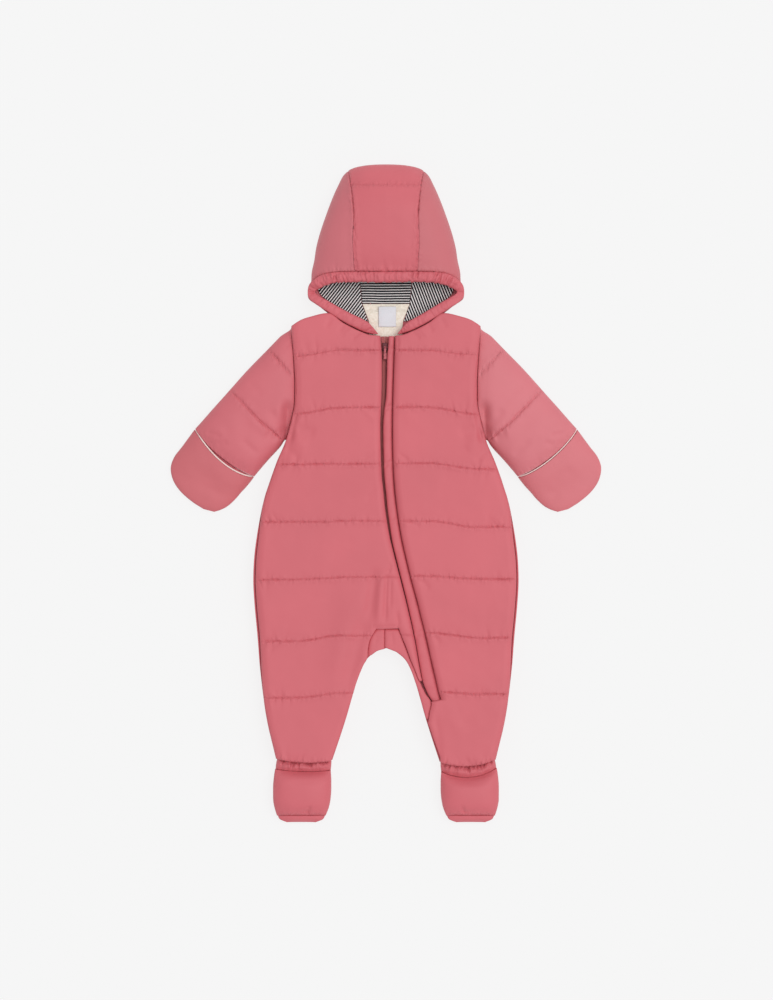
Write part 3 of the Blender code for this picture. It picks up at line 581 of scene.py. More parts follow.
def level_height(levels, x, side, edge):
    """The height y of each point on a row of the body, its level bent along the quilting lines."""
    inner, outer = line_heights(side)
    out = step(np.abs(x), 45 * MM, 100 * MM)
    numbers = np.arange(1, len(inner) + 1, dtype=float)
    held = np.maximum(levels, 1.0)
    line = between(np.interp(held, numbers, inner), np.interp(held, numbers, outer), out)
    last = between(inner[-1], outer[-1], out)
    line = line + (hem_height(x, side) - last) * np.clip(held - len(inner) + 1, 0, 1)
    top = edge("y", np.abs(x))
    wobble = (0.4 * waves(x, line, 45 * MM, 31 + side) + 0.25 * waves(x, line, 13 * MM, 35 + side)) * MM
    wobble = wobble * step(levels, 0.6, 1)
    wobble = wobble * (1 - step(levels, len(inner) - 1, len(inner) - 0.5))
    return np.where(levels < 1, between(top, line, np.clip(levels, 0, 1)), line) + wobble


def snapped(levels, heights, wanted):
    """Levels with the nearest row moved to each wanted height, given the rows' heights near the zip."""
    levels = levels.copy()
    for height in wanted:
        k = int(np.abs(heights - height).argmin())
        below = k + 1 if heights[k] > height else k - 1
        share = (height - heights[k]) / (heights[below] - heights[k])
        levels[k] = between(levels[k], levels[below], share)
    return levels


def side_rim(y):
    """Thickness at the side edge: a soft ridge along the armhole, thin elsewhere."""
    return between(RIM + 4.5 * MM, ARMHOLE_RIM, rise(np.minimum(y - 52 * MM, 190 * MM - y), 16 * MM))


def side_band(y):
    """How far the back wraps round to the front at the side seam."""
    return 2.2 * MM * step(-y, 0, 60 * MM) * step(y, -240 * MM, -150 * MM) + 0.2 * MM


def flap_gap(y):
    """Half the gap at the flap's seam, which closes below the waist."""
    return between(GAP / 2, GAP / 6, step(-y, 40 * MM, 100 * MM))


def body_half(y):
    return BODY("half", np.minimum(y, SHOULDER))


def groove(levels, side):
    """How much of the full padding there is at a level: 0 on a line, 1 between two lines."""
    inner, _ = line_heights(side)
    k = np.clip(np.floor(levels), 1, len(LINES) - 1).astype(int)
    span = inner[k - 1] - inner[k]
    share = levels - k
    below_line = rise(np.clip(share * span, 0, None), 4.5 * MM)
    above_line = rise(np.clip((1 - share) * span, 0, None), 11 * MM)
    channel = below_line * above_line * (0.9 + 0.1 * dome(np.clip(share, 0, 1), 2))
    yoke = rise((1 - levels) * 30 * MM, 11 * MM) * (0.35 + 0.65 * rise(levels * 30 * MM, 16 * MM))
    return np.where(levels < 1, yoke, channel)


def line_points(number, side, x_from, x_to, count=9):
    """Points along one of the body's lines, from one x to another."""
    xs = np.linspace(x_from, x_to, count)
    ys = level_height(np.full(count, float(number)), xs, side, NECK)
    return list(zip(xs, ys))


def front_seams(side):
    """The quilting lines, the armhole and the side seam of one front."""
    seams = []
    for number in range(1, len(LINES) + 1):
        half = float(BODY("half", line_heights(side)[1][number - 1]))
        seams.append(line_points(number, side, side * half, side * 6 * MM, 24))
    seams.append([(side * float(body_half(v)), v) for v in np.linspace(178, -285, 24) * MM])
    return seams


def front_relief(x, y, side):
    """Puckers at the quilting lines and edges, and the folds, on one front."""
    total = 0.35 * MM * waves(x, y, 70 * MM, 7 + side) + 0.12 * MM * waves(x, y, 22 * MM, 9 + side)
    for number in range(1, len(LINES) + 1):
        hem = number == len(LINES)
        pull = LINE_PULL[side][number - 1]
        every, reach, depth = (2.8 * MM, 9 * MM, 1.5 * MM) if hem else (4.5 * MM, 7 * MM, 1.2 * pull * MM)
        near_height, side_height = (float(heights[number - 1]) for heights in line_heights(side))
        half = float(BODY("half", side_height))
        near = 62 * MM if number >= 7 else abs(float(ZIP("seam", near_height))) + 4 * MM
        seam = line_points(number, side, side * (half - 4 * MM), side * near, 24)
        edge = line_points(number, side, side * (half - 1 * MM), side * (half - 30 * MM))
        seed = 100 * number + 10 * side
        for up in (1, -1):
            total += puckers(x, y, seam, seed + up, every, reach, depth, -side * up, 1.2 * MM)
        for up in (1, -1):
            total += puckers(x, y, edge, seed + 3 + up, 6 * MM, 17 * MM, 1.2 * MM, -side * up, 1.5 * MM, 0.8)
        strength = np.clip(0.5 + 0.6 * waves(x, 0 * x, 19 * MM, seed + 7), 0, 1)
        total -= 0.7 * pull * MM * strength * np.exp(-(distance_to(x, y, seam) / (0.9 * MM)) ** 2)
    side_seam = [(side * float(body_half(v)), v) for v in np.linspace(50, -285, 18) * MM]
    armhole = [(side * float(body_half(v)), v) for v in np.linspace(178, 60, 9) * MM]
    column = "front" if side < 0 else "seam"
    zip_seam = [(float(ZIP(column, v)), v) for v in np.linspace(168, -218, 22) * MM]
    total += puckers(x, y, side_seam, 41 + side, 9 * MM, 13 * MM, 1.1 * MM, side, tilt=0.7)
    total += puckers(x, y, armhole, 51 + side, 9 * MM, 17 * MM, 0.9 * MM, side, tilt=0.6)
    total += puckers(x, y, zip_seam, 61 + side, 8 * MM, 12 * MM, 0.8 * MM, -side, tilt=0.6)
    return total


RIGHT_FOLDS = (
    # x0, y0, x1, y1, width, height
    (-11, -76, -19, -142, 6.5, -2.6),
    (-19, -120, -48, -234, 10, -2.6),
    (-5, -84, -9, -146, 3.6, 1.2),
    (1.5, -80, -1.2, -146, 2.2, -1.5),
    (6.5, -75, 2, -87, 1.9, -1.3),
    (5.4, -86, 4.6, -130, 1.8, -0.9),
    (11, -126, 14.5, -147, 2.2, -1.3),
    (-30, -96, -62, -220, 12, 1.2),
    (-8, 8, -24, -8, 3, -0.6),
    (-22, 96, -9, 86, 2.4, -0.9),
    (-24, 90, -10, 79, 3, 0.6),
    (-28, 38, -9, 45, 2.2, -0.7),
    (-24, 152, -8, 150, 2.2, -0.7),
    (-100, 72, -74, 64, 6, -1.3),
    (-104, 60, -84, 48, 5, 1.0),
    (-110, 52, -92, 34, 4, -1.2),
    (-100, 100, -106, 52, 4.5, -5),
)
LEFT_FOLDS = (
    (100, 72, 78, 62, 6, -1.3),
    (104, 60, 86, 46, 5, 1.0),
    (110, 50, 96, 32, 4, -1.2),
    (100, 100, 106, 52, 4.5, -5),
    (11, 45, 26, 34, 2.4, -0.8),
    (12, 92, 30, 96, 2.4, -0.7),
    (20, -28, 38, -36, 2.4, -0.8),
    (36, -92, 48, -104, 3, -1.0),
    (50, -152, 60, -164, 3, -0.9),
    (52, -232, 60, -286, 4, -0.9),
    (64, -222, 82, -262, 6, 0.6),
)
COLLAR_FOLDS = (
    # pulled from the cheek casing, on the wearer's left; the right ones are mirrored
    (26, 176, 38, 166, 2.2, -0.9),
    (34, 181, 47, 168, 2.0, 0.6),
    (44, 184, 52, 174, 2.4, -0.8),
    (58, 192, 66, 178, 2.6, -0.7),
    (12, 171, 14, 158, 1.8, -0.6),
)


def front_surface(levels, x, side, to_side, to_zip):
    """Points of a front's outer and inner faces."""
    y = level_height(levels, x, side, NECK)
    full = between(SEAM_HEIGHT, CREST_HEIGHT, groove(levels, side))
    full = full * between(0.62, 1.0, rise(to_zip, 8 * MM))
    under_arm = crease(x, y, (side * 95 * MM, 70 * MM), (side * 130 * MM, 30 * MM), 22 * MM)
    reach = 9 * MM + 12 * MM * np.clip(under_arm, 0, 1)
    rim = np.minimum(side_rim(y), full)
    height = between(rim, full, rise(to_side, reach))
    own_folds = RIGHT_FOLDS if side < 0 else LEFT_FOLDS
    relief = front_relief(x, y, side) + folds(x, y, own_folds) + folds(side * x, y, COLLAR_FOLDS)
    height = height + relief * step(to_side, 0, 7 * MM) * step(to_zip, -1 * MM, 4 * MM)
    return points(x, y, FRONT_INSIDE + height), points(x, y, FRONT_INSIDE)


def build_front_right():
    """The right front and its strip beside the zip, with the gusset's place left open between them."""
    levels = body_levels()
    inner, _ = line_heights(-1)
    levels = snapped(levels, row_heights(levels, NECK_DIP, inner[0], inner), (GUSSET_TOP, STRIP_END))
    y = row_heights(levels, NECK_DIP, inner[0], inner)

    outward_count, middle_count, strip_count = 98, 20, 10
    total = outward_count + middle_count + strip_count
    zip_x = ZIP("front", y)
    on_gusset = np.minimum(y, GUSSET_TOP)
    leg_edge = np.where(y > LEG_SEAM_TOP[-1], GUSSET("right", on_gusset), -INNER_LEG("half", y))
    leg_edge = np.minimum(leg_edge - GAP / 8, zip_x - 1 * MM)
    strip_x = np.minimum(GUSSET("left", on_gusset) + GAP / 8, zip_x - 0.4 * MM)
    side_y = level_height(levels, np.full(len(levels), -120 * MM), -1, NECK)
    side_x = side_band(side_y) - body_half(side_y)
    even = between(side_x[:, None], zip_x[:, None], spaced(total, 0.45))
    fitted = np.concatenate((
        between(side_x[:, None], leg_edge[:, None], spaced(outward_count, 0.5)),
        between(leg_edge[:, None], strip_x[:, None], np.linspace(0, 1, middle_count + 2)[1:-1]),
        between(strip_x[:, None], zip_x[:, None], np.linspace(0, 1, strip_count)),
    ), axis=1)
    x = between(even, fitted, step(-y, 60 * MM, 128 * MM)[:, None])

    on_leg = (y <= GUSSET_TOP)[:, None]
    leg_distance = np.abs(x - np.where(x < strip_x[:, None], leg_edge[:, None], strip_x[:, None])) + 2.5 * MM
    beside_gusset = 30 * MM * (np.abs(x + 1 * MM) > 14 * MM)
    near_top = 1.5 * MM + np.clip(y - GUSSET_TOP, 0, None)[:, None] + beside_gusset
    to_side = np.minimum(x - side_x[:, None], np.where(on_leg, leg_distance, near_top))
    to_zip = np.where((y < STRIP_END)[:, None], 20 * MM, np.maximum(0, zip_x[:, None] - x))
    outer, under = front_surface(levels[:, None] * np.ones_like(x), x, -1, to_side, to_zip)

    column = np.indices((len(levels) - 1, total - 1))[1]
    below = (y[:-1] <= GUSSET_TOP + 0.1 * MM)[:, None]
    ended = (y[:-1] <= STRIP_END + 0.1 * MM)[:, None]
    middle = (column >= outward_count - 1) & (column < outward_count + middle_count)
    strip = column >= outward_count + middle_count
    piece = wall("front_right", outer, under, SHELL, kept=~(below & middle) & ~(ended & strip))
    gathered(piece, front_seams(-1))
    finished(piece)


def build_front_left():
    levels = body_levels()
    inner, _ = line_heights(1)
    y = row_heights(levels, NECK_DIP, inner[0], inner)
    seam_x = ZIP("seam", y) + flap_gap(y)
    beside_gusset = np.where(y > LEG_SEAM_TOP[1], GUSSET("left", y), 0)
    leg_x = np.maximum(beside_gusset, INNER_LEG("half", y)) + GAP / 4
    on_zip = (y > ZIP_END)[:, None]
    start = np.where(on_zip, seam_x[:, None], leg_x[:, None])
    side_y = level_height(levels, np.full(len(levels), 120 * MM), 1, NECK)
    side_x = (body_half(side_y) - side_band(side_y))[:, None]
    x = between(side_x, start, spaced(116, 0.45))
    inward = x - start
    to_side = np.where(on_zip, side_x - x, np.minimum(side_x - x, inward + 2.5 * MM))
    to_zip = np.where(on_zip, inward, 20 * MM)
    outer, under = front_surface(levels[:, None] * np.ones_like(x), x, 1, to_side, to_zip)
    piece = wall("front_left", outer, under, SHELL)
    gathered(piece, front_seams(1))
    finished(piece)


def build_gusset():
    """Two halves of the crotch gusset, on either side of its centre seam."""
    for side, name in SIDES[::-1]:
        y = between(GUSSET_TOP, GUSSET_ENDS[side], spaced(44, 0.3))[:, None]
        seam = GUSSET(name, y)
        centre = GUSSET_CENTRE + side * GAP / 12
        edge = np.where(y > CROTCH + 0.4 * MM, centre, side * INNER_LEG("half", y))
        across = spaced(18, 0.3)
        x = between(edge, seam, across)
        width = np.abs(seam - edge)
        height = between(8.6 * MM, 10.4 * MM, rise(width * (1 - across), 5 * MM))
        height = height - 1.6 * MM * (1 - rise(width * across, 3.5 * MM))
        height = height * between(0.85, 1, rise(GUSSET_TOP - y, 4 * MM))
        seam_line = [(GUSSET_CENTRE, v) for v in (GUSSET_TOP, CROTCH)]
        height = height + puckers(x, y, seam_line, 71 + side, 5 * MM, 8 * MM, 0.6 * MM, side)
        height = height + folds(x, y, ((6, -150, 8, -166, 1.4, -0.6), (-9, -152, -12, -164, 2, -0.4)))
        top, low = points(x, y, FRONT_INSIDE + height), points(x, y, FRONT_INSIDE)
        finished(wall(f"gusset_{name}", top, low, SHELL))


def build_back():
    """The back, flat where it rests, its edges turned up and over to the side seams."""
    levels = body_levels()
    first, outer_heights = line_heights(-1)[0][0], line_heights(-1)[1]
    y_side = row_heights(levels, SHOULDER, first, outer_heights)
    k = int(np.abs(y_side - CROTCH).argmin())
    levels[k] += (y_side[k] - CROTCH) / (y_side[k - 1] - y_side[k]) * (levels[k] - levels[k - 1])
    y_side = row_heights(levels, SHOULDER, first, outer_heights)
    half = body_half(y_side)[:, None]
    leg = np.where(y_side <= CROTCH, INNER_LEG("half", y_side), 0.5 * MM)[:, None]
    shares = spaced(46, 0.55)
    right = -between(half, leg, shares)
    x = np.concatenate((right, -right[:, ::-1]), axis=1)
    level = levels[:, None] * np.ones_like(x)
    hem = np.where(x > 0, hem_height(x, 1), hem_height(x, -1)) - outer_heights[-1]
    y = row_heights(level, NAPE("y", np.abs(x)), first, outer_heights)
    y = y + hem * np.clip(level - len(LINES) + 1, 0, 1)

    to_side = half - np.abs(x)
    at_edge = rise(to_side, 26 * MM)
    at_leg = np.minimum(at_edge, rise(np.abs(x) - leg + 3 * MM, 22 * MM))
    at_edge = np.where((y_side <= CROTCH)[:, None], at_leg, at_edge)
    inside = between(BACK_INSIDE, NECK_INSIDE, np.clip((y - 110 * MM) / (40 * MM), 0, 1))
    band = side_band(y)
    lip = 7.0 * MM * (band > to_side) * between(0.6, 1, rise(band - to_side, 1.8 * MM))
    lip = lip * step(band, 0.5 * MM, 2 * MM)
    share = level - np.floor(level)
    near_line = np.minimum(share, 1 - share) * 60 * MM
    dent = 1.6 * MM * np.exp(-(near_line / (3 * MM)) ** 2) * (level > 0.5)
    below = np.maximum(between(inside + 0.5 * lip - RIM, 0, at_edge), dent)
    column = np.indices((len(levels) - 1, x.shape[1] - 1))[1]
    split = (y_side[:-1] <= CROTCH + 0.1 * MM)[:, None] & (column == len(shares) - 1)
    piece = wall("back", points(x, y, below), points(x, y, inside + lip), SHELL, kept=~split)
    finished(piece)


# ---------------------------------------------------------------- sleeves, cuffs and ankles

SLEEVE = (
    # outer x, y, lower x, y, bow, top
    (103.9, 181.3, 109.3, 58.8, -7, 20),
    (113, 172.5, 110.2, 57.6, -5, 24),
    (128, 157, 111, 56.6, -3, 25.6),
    (150, 134.5, 112, 55, -1, 25.6),
    (168.5, 113.8, 113.4, 52.6, 0, 25),
    (175, 106.5, 117.5, 47.5, 1, 25),
    (188, 92, 127, 37.3, 3, 25.5),
    (200, 78.3, 137, 25.8, 5, 24),
    (207.3, 70.2, 143.2, 18.4, 6.2, 18),
)
SLEEVE_MIDDLE = 9.0 * MM
SLEEVE_HEM = metres(((207.3, 70.2), (193, 52), (179, 39.5), (163, 28), (143.2, 18.4)))
SLEEVE_QUILTS = (metres(((103, 129.5), (128, 157))), metres(((111, 57), (136, 78), (170, 113))))
SLEEVE_FOLDS = (
    # x0, y0, x1, y1, width, height
    (116, 60, 132, 66, 6, -2.0), (112, 72, 128, 92, 5, -1.4), (122, 58, 150, 84, 5, 0.9),
    (136, 40, 158, 60, 4, -1.0), (150, 122, 132, 104, 5, -0.7), (186, 84, 166, 62, 6, -0.6),
    (105, 104, 111, 52, 6, -7), (196, 66, 176, 62, 3, -1.2), (184, 52, 170, 56, 3, -1.2),
)
CUFF = (
    # the same columns
    (206.8, 69.2, 143.7, 18.2, 6.0, 14),
    (205.5, 65, 146.5, 17.2, 8, 14),
    (197, 46, 160, 14, 4, 10.5),
)
ANKLE = {
    # outer x, y, inner x, y, bow, top
    1: (
        (118.2, -288.5, 59.2, -291.5, 5.5, 16),
        (119.4, -294, 59.4, -297, 6.5, 19),
        (120, -298.2, 60, -302, 7.5, 16),
    ),
    -1: (
        (118.2, -287.5, 59.2, -289.6, 3, 16),
        (119.4, -293.5, 59.4, -295, 2.6, 19),
        (120, -299.2, 60, -300.4, 1.6, 16),
    ),
}


def station_grid(rows, at, across):
    """x and y of points across bowed lines between two ends, each line's length, and the other columns."""
    x0, y0, x1, y1, bow, *rest = (v[:, None] for v in stations(rows, at))
    length = np.hypot(x1 - x0, y1 - y0)
    shift = bow * 4 * across * (1 - across) / length
    x = between(x0, x1, across) - (y1 - y0) * shift
    y = between(y0, y1, across) + (x1 - x0) * shift
    return x, y, length, rest


def flattened_tube(rows, at, count, middle, rest, relief, fit=None):
    """Outer and inner rings of a flattened padded tube through stations, open at both ends.

    relief(x, y) is added to the padding on top, and fit(x, y, at) may move points sideways.
    """
    across = spaced(count, 0.6)
    x, y, length, (top,) = station_grid(rows, at, across)
    inset = 5 * MM / length
    xi, yi, _, _ = station_grid(rows, at, np.clip(between(inset, 1 - inset, across), 0, 1))
    if fit:
        x, xi = fit(x, y, at[:, None]), fit(xi, yi, at[:, None])
    high = dome(across, 3.2)
    over = between(middle, top, high) + relief(x, y) * step(high, 0, 0.8)
    under = between(middle, rest, dome(across, 2.4)) + 0 * x
    slit = 1.2 * MM * (0.3 + dome(across))
    outer = np.concatenate((points(x, y, over), points(x, y, under)[:, -2:0:-1]), axis=1)
    inner = np.concatenate((points(xi, yi, middle + slit), points(xi, yi, middle - slit)[:, -2:0:-1]), axis=1)
    return outer, inner


def sleeve_relief(x, y, side):
    total = 0.4 * MM * waves(x, y, 60 * MM, 21 + side) + 0.12 * MM * waves(x, y, 20 * MM, 23 + side)
    for number, quilt in enumerate(SLEEVE_QUILTS):
        away = distance_to(x, y, quilt)
        total = total - 3.0 * MM * (1 - rise(away, 7 * MM)) - 0.6 * MM * np.exp(-(away / MM) ** 2)
        for up in (1, -1):
            seed = 200 + 10 * number + side + 4 * up
            total = total + puckers(x, y, quilt, seed, 4.5 * MM, 9 * MM, 1.4 * MM, up, 1.2 * MM)
    armhole = [(float(body_half(v)), v) for v in np.linspace(178, 60, 9) * MM]
    total = total + puckers(x, y, armhole, 231 + side, 8 * MM, 15 * MM, 1.0 * MM, tilt=0.6)
    total = total + puckers(x, y, SLEEVE_HEM, 241 + side, 5 * MM, 14 * MM, 1.2 * MM, -1)
    return total + folds(x, y, SLEEVE_FOLDS)


def build_sleeves():
    at = between(0, len(SLEEVE) - 1, np.linspace(0, 1, 124))

    def fit(x, y, at):
        return between(body_half(y) + 0.1 * MM, x, step(at, 0, 1.2))

    for side, name in SIDES:
        def relief(x, y, side=side):
            return sleeve_relief(x, y, side)

        rings = flattened_tube(SLEEVE, at, 62, SLEEVE_MIDDLE, 0.2 * MM, relief, fit)
        # The sleeve's colour is the shell's with painted sheen
        piece = mirrored(f"sleeve_{name}", *rings, PAINTED_SHEEN_ARM[side], side, closed=True)
        gathered(piece, [[(side * a, b) for a, b in line] for line in (*SLEEVE_QUILTS, SLEEVE_HEM)])
        finished(piece)


def build_cuffs():
    at = between(0, len(CUFF) - 1, np.linspace(0, 1, 26))
    hem = metres(((206.6, 69.4), (175, 43), (143.9, 18.9)))
    for side, name in SIDES:
        def relief(x, y, side=side):
            gathers = puckers(x, y, hem, 82 + side, 3.2 * MM, 9 * MM, 1.6 * MM, -1, 1.0 * MM)
            return gathers + 0.5 * MM * waves(x + y, 0 * y, 6 * MM, 81 + side)

        rings = flattened_tube(CUFF, at, 44, 7 * MM, 2.4 * MM, relief)
        piece = mirrored(f"cuff_{name}", *rings, SHELL, side, closed=True)
        finished(piece)


def build_ankle_casings():
    at = between(0, 2, np.linspace(0, 1, 18))
    for side, name in SIDES:
        seam = [(v, float(hem_height(v, side))) for v in np.linspace(117, 61, 12) * MM]

        def relief(x, y, side=side, seam=seam):
            gathers = puckers(x, y, seam, 91 + side, 3 * MM, 10 * MM, 4.6 * MM, 1, 0.9 * MM, 0.3)
            return gathers + 0.4 * MM * waves(x, 0.3 * y, 5 * MM, 95 + side)

        rings = flattened_tube(ANKLE[side], at, 96, 8 * MM, 0.2 * MM, relief)
        piece = mirrored(f"ankle_casing_{name}", *rings, SHELL, side, closed=True)
        gathered(piece, [[(side * a, b) for a, b in seam]], 8 * MM)
        finished(piece)


# ---------------------------------------------------------------- mittens

MITTEN = (
    # outer x, y, inner x, y, flap bow, back bow, top, inside
    (208.4, 69.4, 143.9, 17.6, 9, 6, 18, 15.6),
    (221.5, 51.5, 151, 8.5, 6, 5, 16, 13.6),
    (230.5, 39.5, 157.5, 1.5, 4, 4, 13.5, 9),
    (234.3, 27, 163, -5, 2, 2, 11, 5),
    (231.5, 14, 168.5, -10.5, 1, 1, 10, 4.8),
    (223.5, 2, 174, -14.8, 0, 0, 9, 4.6),
    (211, -9, 180.5, -18, 0, 0, 7.6, 4.2),
    (198.5, -17, 187, -20, 0, 0, 5.2, 3),
)
MITTEN_RIM = 4.6 * MM
MITTEN_FLOOR = 2.0 * MM
MITTEN_FOLDS = ((205, 30, 178, 6, 9, -0.8), (222, 26, 196, 2, 7, 0.5), (168, 12, 190, -6, 6, -0.5))
PIPING_RADIUS = {1: 0.6 * MM, -1: 0.8 * MM}
OPENING = {
    # how far the flap's edge bows towards the hand, how skewed and how blunt its curve is
    1: (7.3 * MM, 1.15, 0.7),
    -1: (9.3 * MM, 1.25, 0.8),
}


def mitten_surface(at, across, side):
    """x and y of the flap, x and y of the back, and the flap's top and underside before the relief."""
    x0, y0, x1, y1, flap_bow, back_bow, top, inside = (v[:, None] for v in stations(MITTEN, at))
    depth, skew, blunt = OPENING[side]
    skewed = across ** skew
    edge = depth * (4 * skewed * (1 - skewed)) ** blunt * flap_bow / (MITTEN[0][4] * MM)
    placed = []
    for bow in (edge, back_bow * 4 * across * (1 - across)):
        shift = bow / np.hypot(x1 - x0, y1 - y0)
        x, y = between(x0, x1, across), between(y0, y1, across)
        placed.append((x - (y1 - y0) * shift, y + (x1 - x0) * shift))
    high = dome(across, 3)
    return *placed, between(MITTEN_RIM, top, high), between(MITTEN_FLOOR + GAP, inside, high)


def build_mittens():
    at = between(0, len(MITTEN) - 1, spaced(70, 0.5))
    across = spaced(52, 0.6)
    for side, name in SIDES:
        (x, y), back, over, under = mitten_surface(at, across, side)
        relief = 0.35 * MM * waves(x, y, 45 * MM, 111 + side) + 0.1 * MM * waves(x, y, 14 * MM, 113 + side)
        relief = relief + folds(x, y, MITTEN_FOLDS)
        over = over + relief * step(dome(across, 3), 0, 0.8)
        # The mitten's colour is the shell's with painted sheen
        look = PAINTED_SHEEN_MITTEN[side]
        piece = mirrored(f"mitten_flap_{name}", points(x, y, over), points(x, y, under), look, side)
        finished(piece)
        piece = mirrored(f"mitten_back_{name}", points(*back, MITTEN_FLOOR), points(*back, 0), look, side)
        finished(piece)
        build_piping(name, side)


def build_piping(name, side):
    """A corded edge beside the mitten flap's opening, on the side of the sleeve."""
    across = between(0.015, 0.985, spaced(90, 0.3))
    flap, _, over, under = mitten_surface(np.zeros(1), across, side)
    x, y = flap[0][0], flap[1][0]
    z = (over[0] + under[0]) / 2 + 1.2 * MM + 0.25 * MM * waves(x, y, 12 * MM, 121 + side)
    along = np.stack((np.gradient(x), np.gradient(y)), axis=-1)
    along /= np.linalg.norm(along, axis=1)[:, None]
    out = np.stack((along[:, 1], -along[:, 0], 0 * x), axis=-1)
    middle = points(x, y, z) + out * 1.1 * MM
    turn = np.linspace(0, math.tau, 12, endpoint=False)[None, :, None]
    around = np.cos(turn) * out[:, None] + np.sin(turn) * np.array((0, 0, 1.0))
    rings = middle[:, None] + PIPING_RADIUS[side] * around
    piece = tube(f"mitten_piping_{name}", rings * (side, 1, 1), TRIM)
    finished(piece)


# ---------------------------------------------------------------- booties

BOOTIE = Table(
    "y inner outer top",
    (-301.5, 60, 120.4, 15.5), (-306, 59.8, 121.2, 21), (-312, 59.4, 122, 24.5), (-320, 59.4, 122.6, 25.5),
    (-332, 60.2, 122.5, 25), (-341, 62, 121, 22.5), (-349.6, 65.5, 118.3, 14.5),
)
TOE = Table(
    "y inner outer top",
    (-350, 66.2, 117.6, 13), (-354.5, 69.2, 114.6, 11.5), (-357.3, 76.5, 107.5, 7),
)
BOOTIE_FOLDS = (
    # x0, y0, x1, y1, width, height
    (86, -349, 82, -337, 1.4, -2.2), (94, -345, 80, -344, 1.4, -1.2), (66, -312, 112, -314, 3, -0.4),
)
BOOTIE_INSIDE = 9.6 * MM
SOLE_INSIDE = 9.0 * MM


def build_booties():
    """A padded upper over a sole that turns up at the toe."""
    across = spaced(48, 0.6)
    high = dome(across, 2.8)
    for side, name in SIDES:
        y0 = between(-301.5 * MM, -349.6 * MM, spaced(44, 0.4))[:, None]
        inner, outer, top = (BOOTIE(column, y0) for column in ("inner", "outer", "top"))
        x = between(outer, inner, across)
        fade = 1 - step(-y0, 301.5 * MM, 338 * MM)
        y = y0 + fade * (casing_end(x, side) + 301.5 * MM)
        over = between(BOOTIE_INSIDE + RIM, top, high)
        seam = [(f * MM, -349 * MM) for f in (68, 92, 116)]
        relief = 0.25 * MM * waves(x, y, 30 * MM, 131 + side)
        relief = relief + puckers(x, y, seam, 133 + side, 7 * MM, 9 * MM, 0.8 * MM, side=1)
        relief = relief + folds(x, y, BOOTIE_FOLDS)
        relief = relief - 2.4 * MM * np.exp(-((y + 349.6 * MM) / (1.4 * MM)) ** 2)
        over = over + relief * step(high, 0.1, 0.8)
        inside = points(x, y, BOOTIE_INSIDE)
        piece = mirrored(f"bootie_upper_{name}", points(x, y, over), inside, SHELL, side)
        gathered(piece, [[(side * 70 * MM, -348 * MM), (side * 112 * MM, -348 * MM)]])
        finished(piece)
        y1 = between(-350 * MM, -357.3 * MM, spaced(14, 0.3))[:, None]
        inner, outer, toe = (TOE(column, y1) for column in ("inner", "outer", "top"))
        xt = between(outer, inner, across)
        toe_top = between(SOLE_INSIDE, toe, high)
        low = between(SOLE_INSIDE - RIM, 0, high) + 0 * x
        lift = 5.5 * MM * step(-y1, 353 * MM, 357.3 * MM) ** 2
        toe_low = np.minimum(between(SOLE_INSIDE - RIM, lift, high), toe_top - 0.4 * MM)
        upper = np.concatenate((points(x, y, SOLE_INSIDE), points(xt, y1, toe_top)))
        lower = np.concatenate((points(x, y, low), points(xt, y1, toe_low)))
        piece = mirrored(f"bootie_sole_{name}", upper, lower, SHELL, side)
        finished(piece)


# ---------------------------------------------------------------- hood

HOOD = Table(
    "y half centre top",
    (357.3, 12, 12, 12), (356.9, 20, 20, 14), (355.9, 27.3, 27.3, 17), (354.2, 34.4, 34.4, 21),
    (352, 39.4, 39.4, 23.5), (350, 41.8, 41.2, 26), (346, 45.8, 40.4, 29.5), (335, 51.6, 38.6, 37),
    (323, 57, 36.8, 43), (303, 64.6, 35, 47), (281, 72, 34.2, 46.5), (266, 75.8, 33.8, 45),
    (253, 77.8, 33.2, 42), (240, 80.6, 32, 37), (228.5, 81.5, 29, 32), (217.5, 85, 28, 29),
    (211, 83.5, 27.6, 27.5), (204, 73.5, 26.6, 26.5), (196.2, 63.5, 26, 26),
)
CROWN_Y = 357.3 * MM
HOOD_WALL = 6.0 * MM
HOOD_OVER = ((0, 1), (0.3, 0.985), (0.55, 0.93), (0.75, 0.81), (0.9, 0.63), (0.97, 0.46), (1, 0.3))
HOOD_UNDER = ((0, 0), (0.8, 0), (0.9, 0.02), (0.97, 0.12), (1, 0.3))
CROWN_QUILT_Y = 332.5 * MM
BRIM_ROW = 243 * MM
MOUTH_END = 196.2 * MM
BRIM = Table("x y", (0, 239.4), (33, 239.7), (55, 239.1), (66, 237.6), (74, 234.8), (79, 231.7), (82, 229))
CASING = (
    # face x, y, outer x, y, bottom, top
    (10.3, 173, 15, 172.6, 12.8, 19.5),
    (16.5, 180.5, 26, 175.8, 12.8, 24),
    (23, 186.5, 36, 180.4, 12.8, 26),
    (39.5, 195.2, 45.3, 185.3, 12.8, 27),
    (57, 205.2, 62.8, 196.4, 12.8, 27),
    (74.5, 215.6, 82.6, 210.6, 12.8, 21.5),
    (76.8, 218.4, 84.9, 217.8, 12.2, 20.5),
    (72, 222, 81, 229, 13.5, 23.5),
    (58.5, 226.9, 63, 238.2, 17, 31),
    (38, 228.2, 42, 239.4, 21, 35.5),
    (0, 227.9, 0, 239.1, 23.5, 38),
)


def hood_surface(y, share, over, outside):
    """Points of the hood at rows y: shares of its half width, over or under, outside or inside."""
    y = to_brim(y, share, 1 if over else step(share, 0.85, 1))
    half, top = HOOD("half", y), HOOD("top", y)
    profile = np.array(HOOD_OVER if over else HOOD_UNDER)
    height = curve(profile[:, 0], profile[:, 1], share)
    if outside:
        return points(share * half, y, height * top)
    crown = np.clip((y - 325 * MM) / (CROWN_Y - 325 * MM), 0, 1)
    inside_height = HOOD_WALL + height * (top - 2 * HOOD_WALL)
    return points(share * (half - HOOD_WALL), y - HOOD_WALL * crown, inside_height)


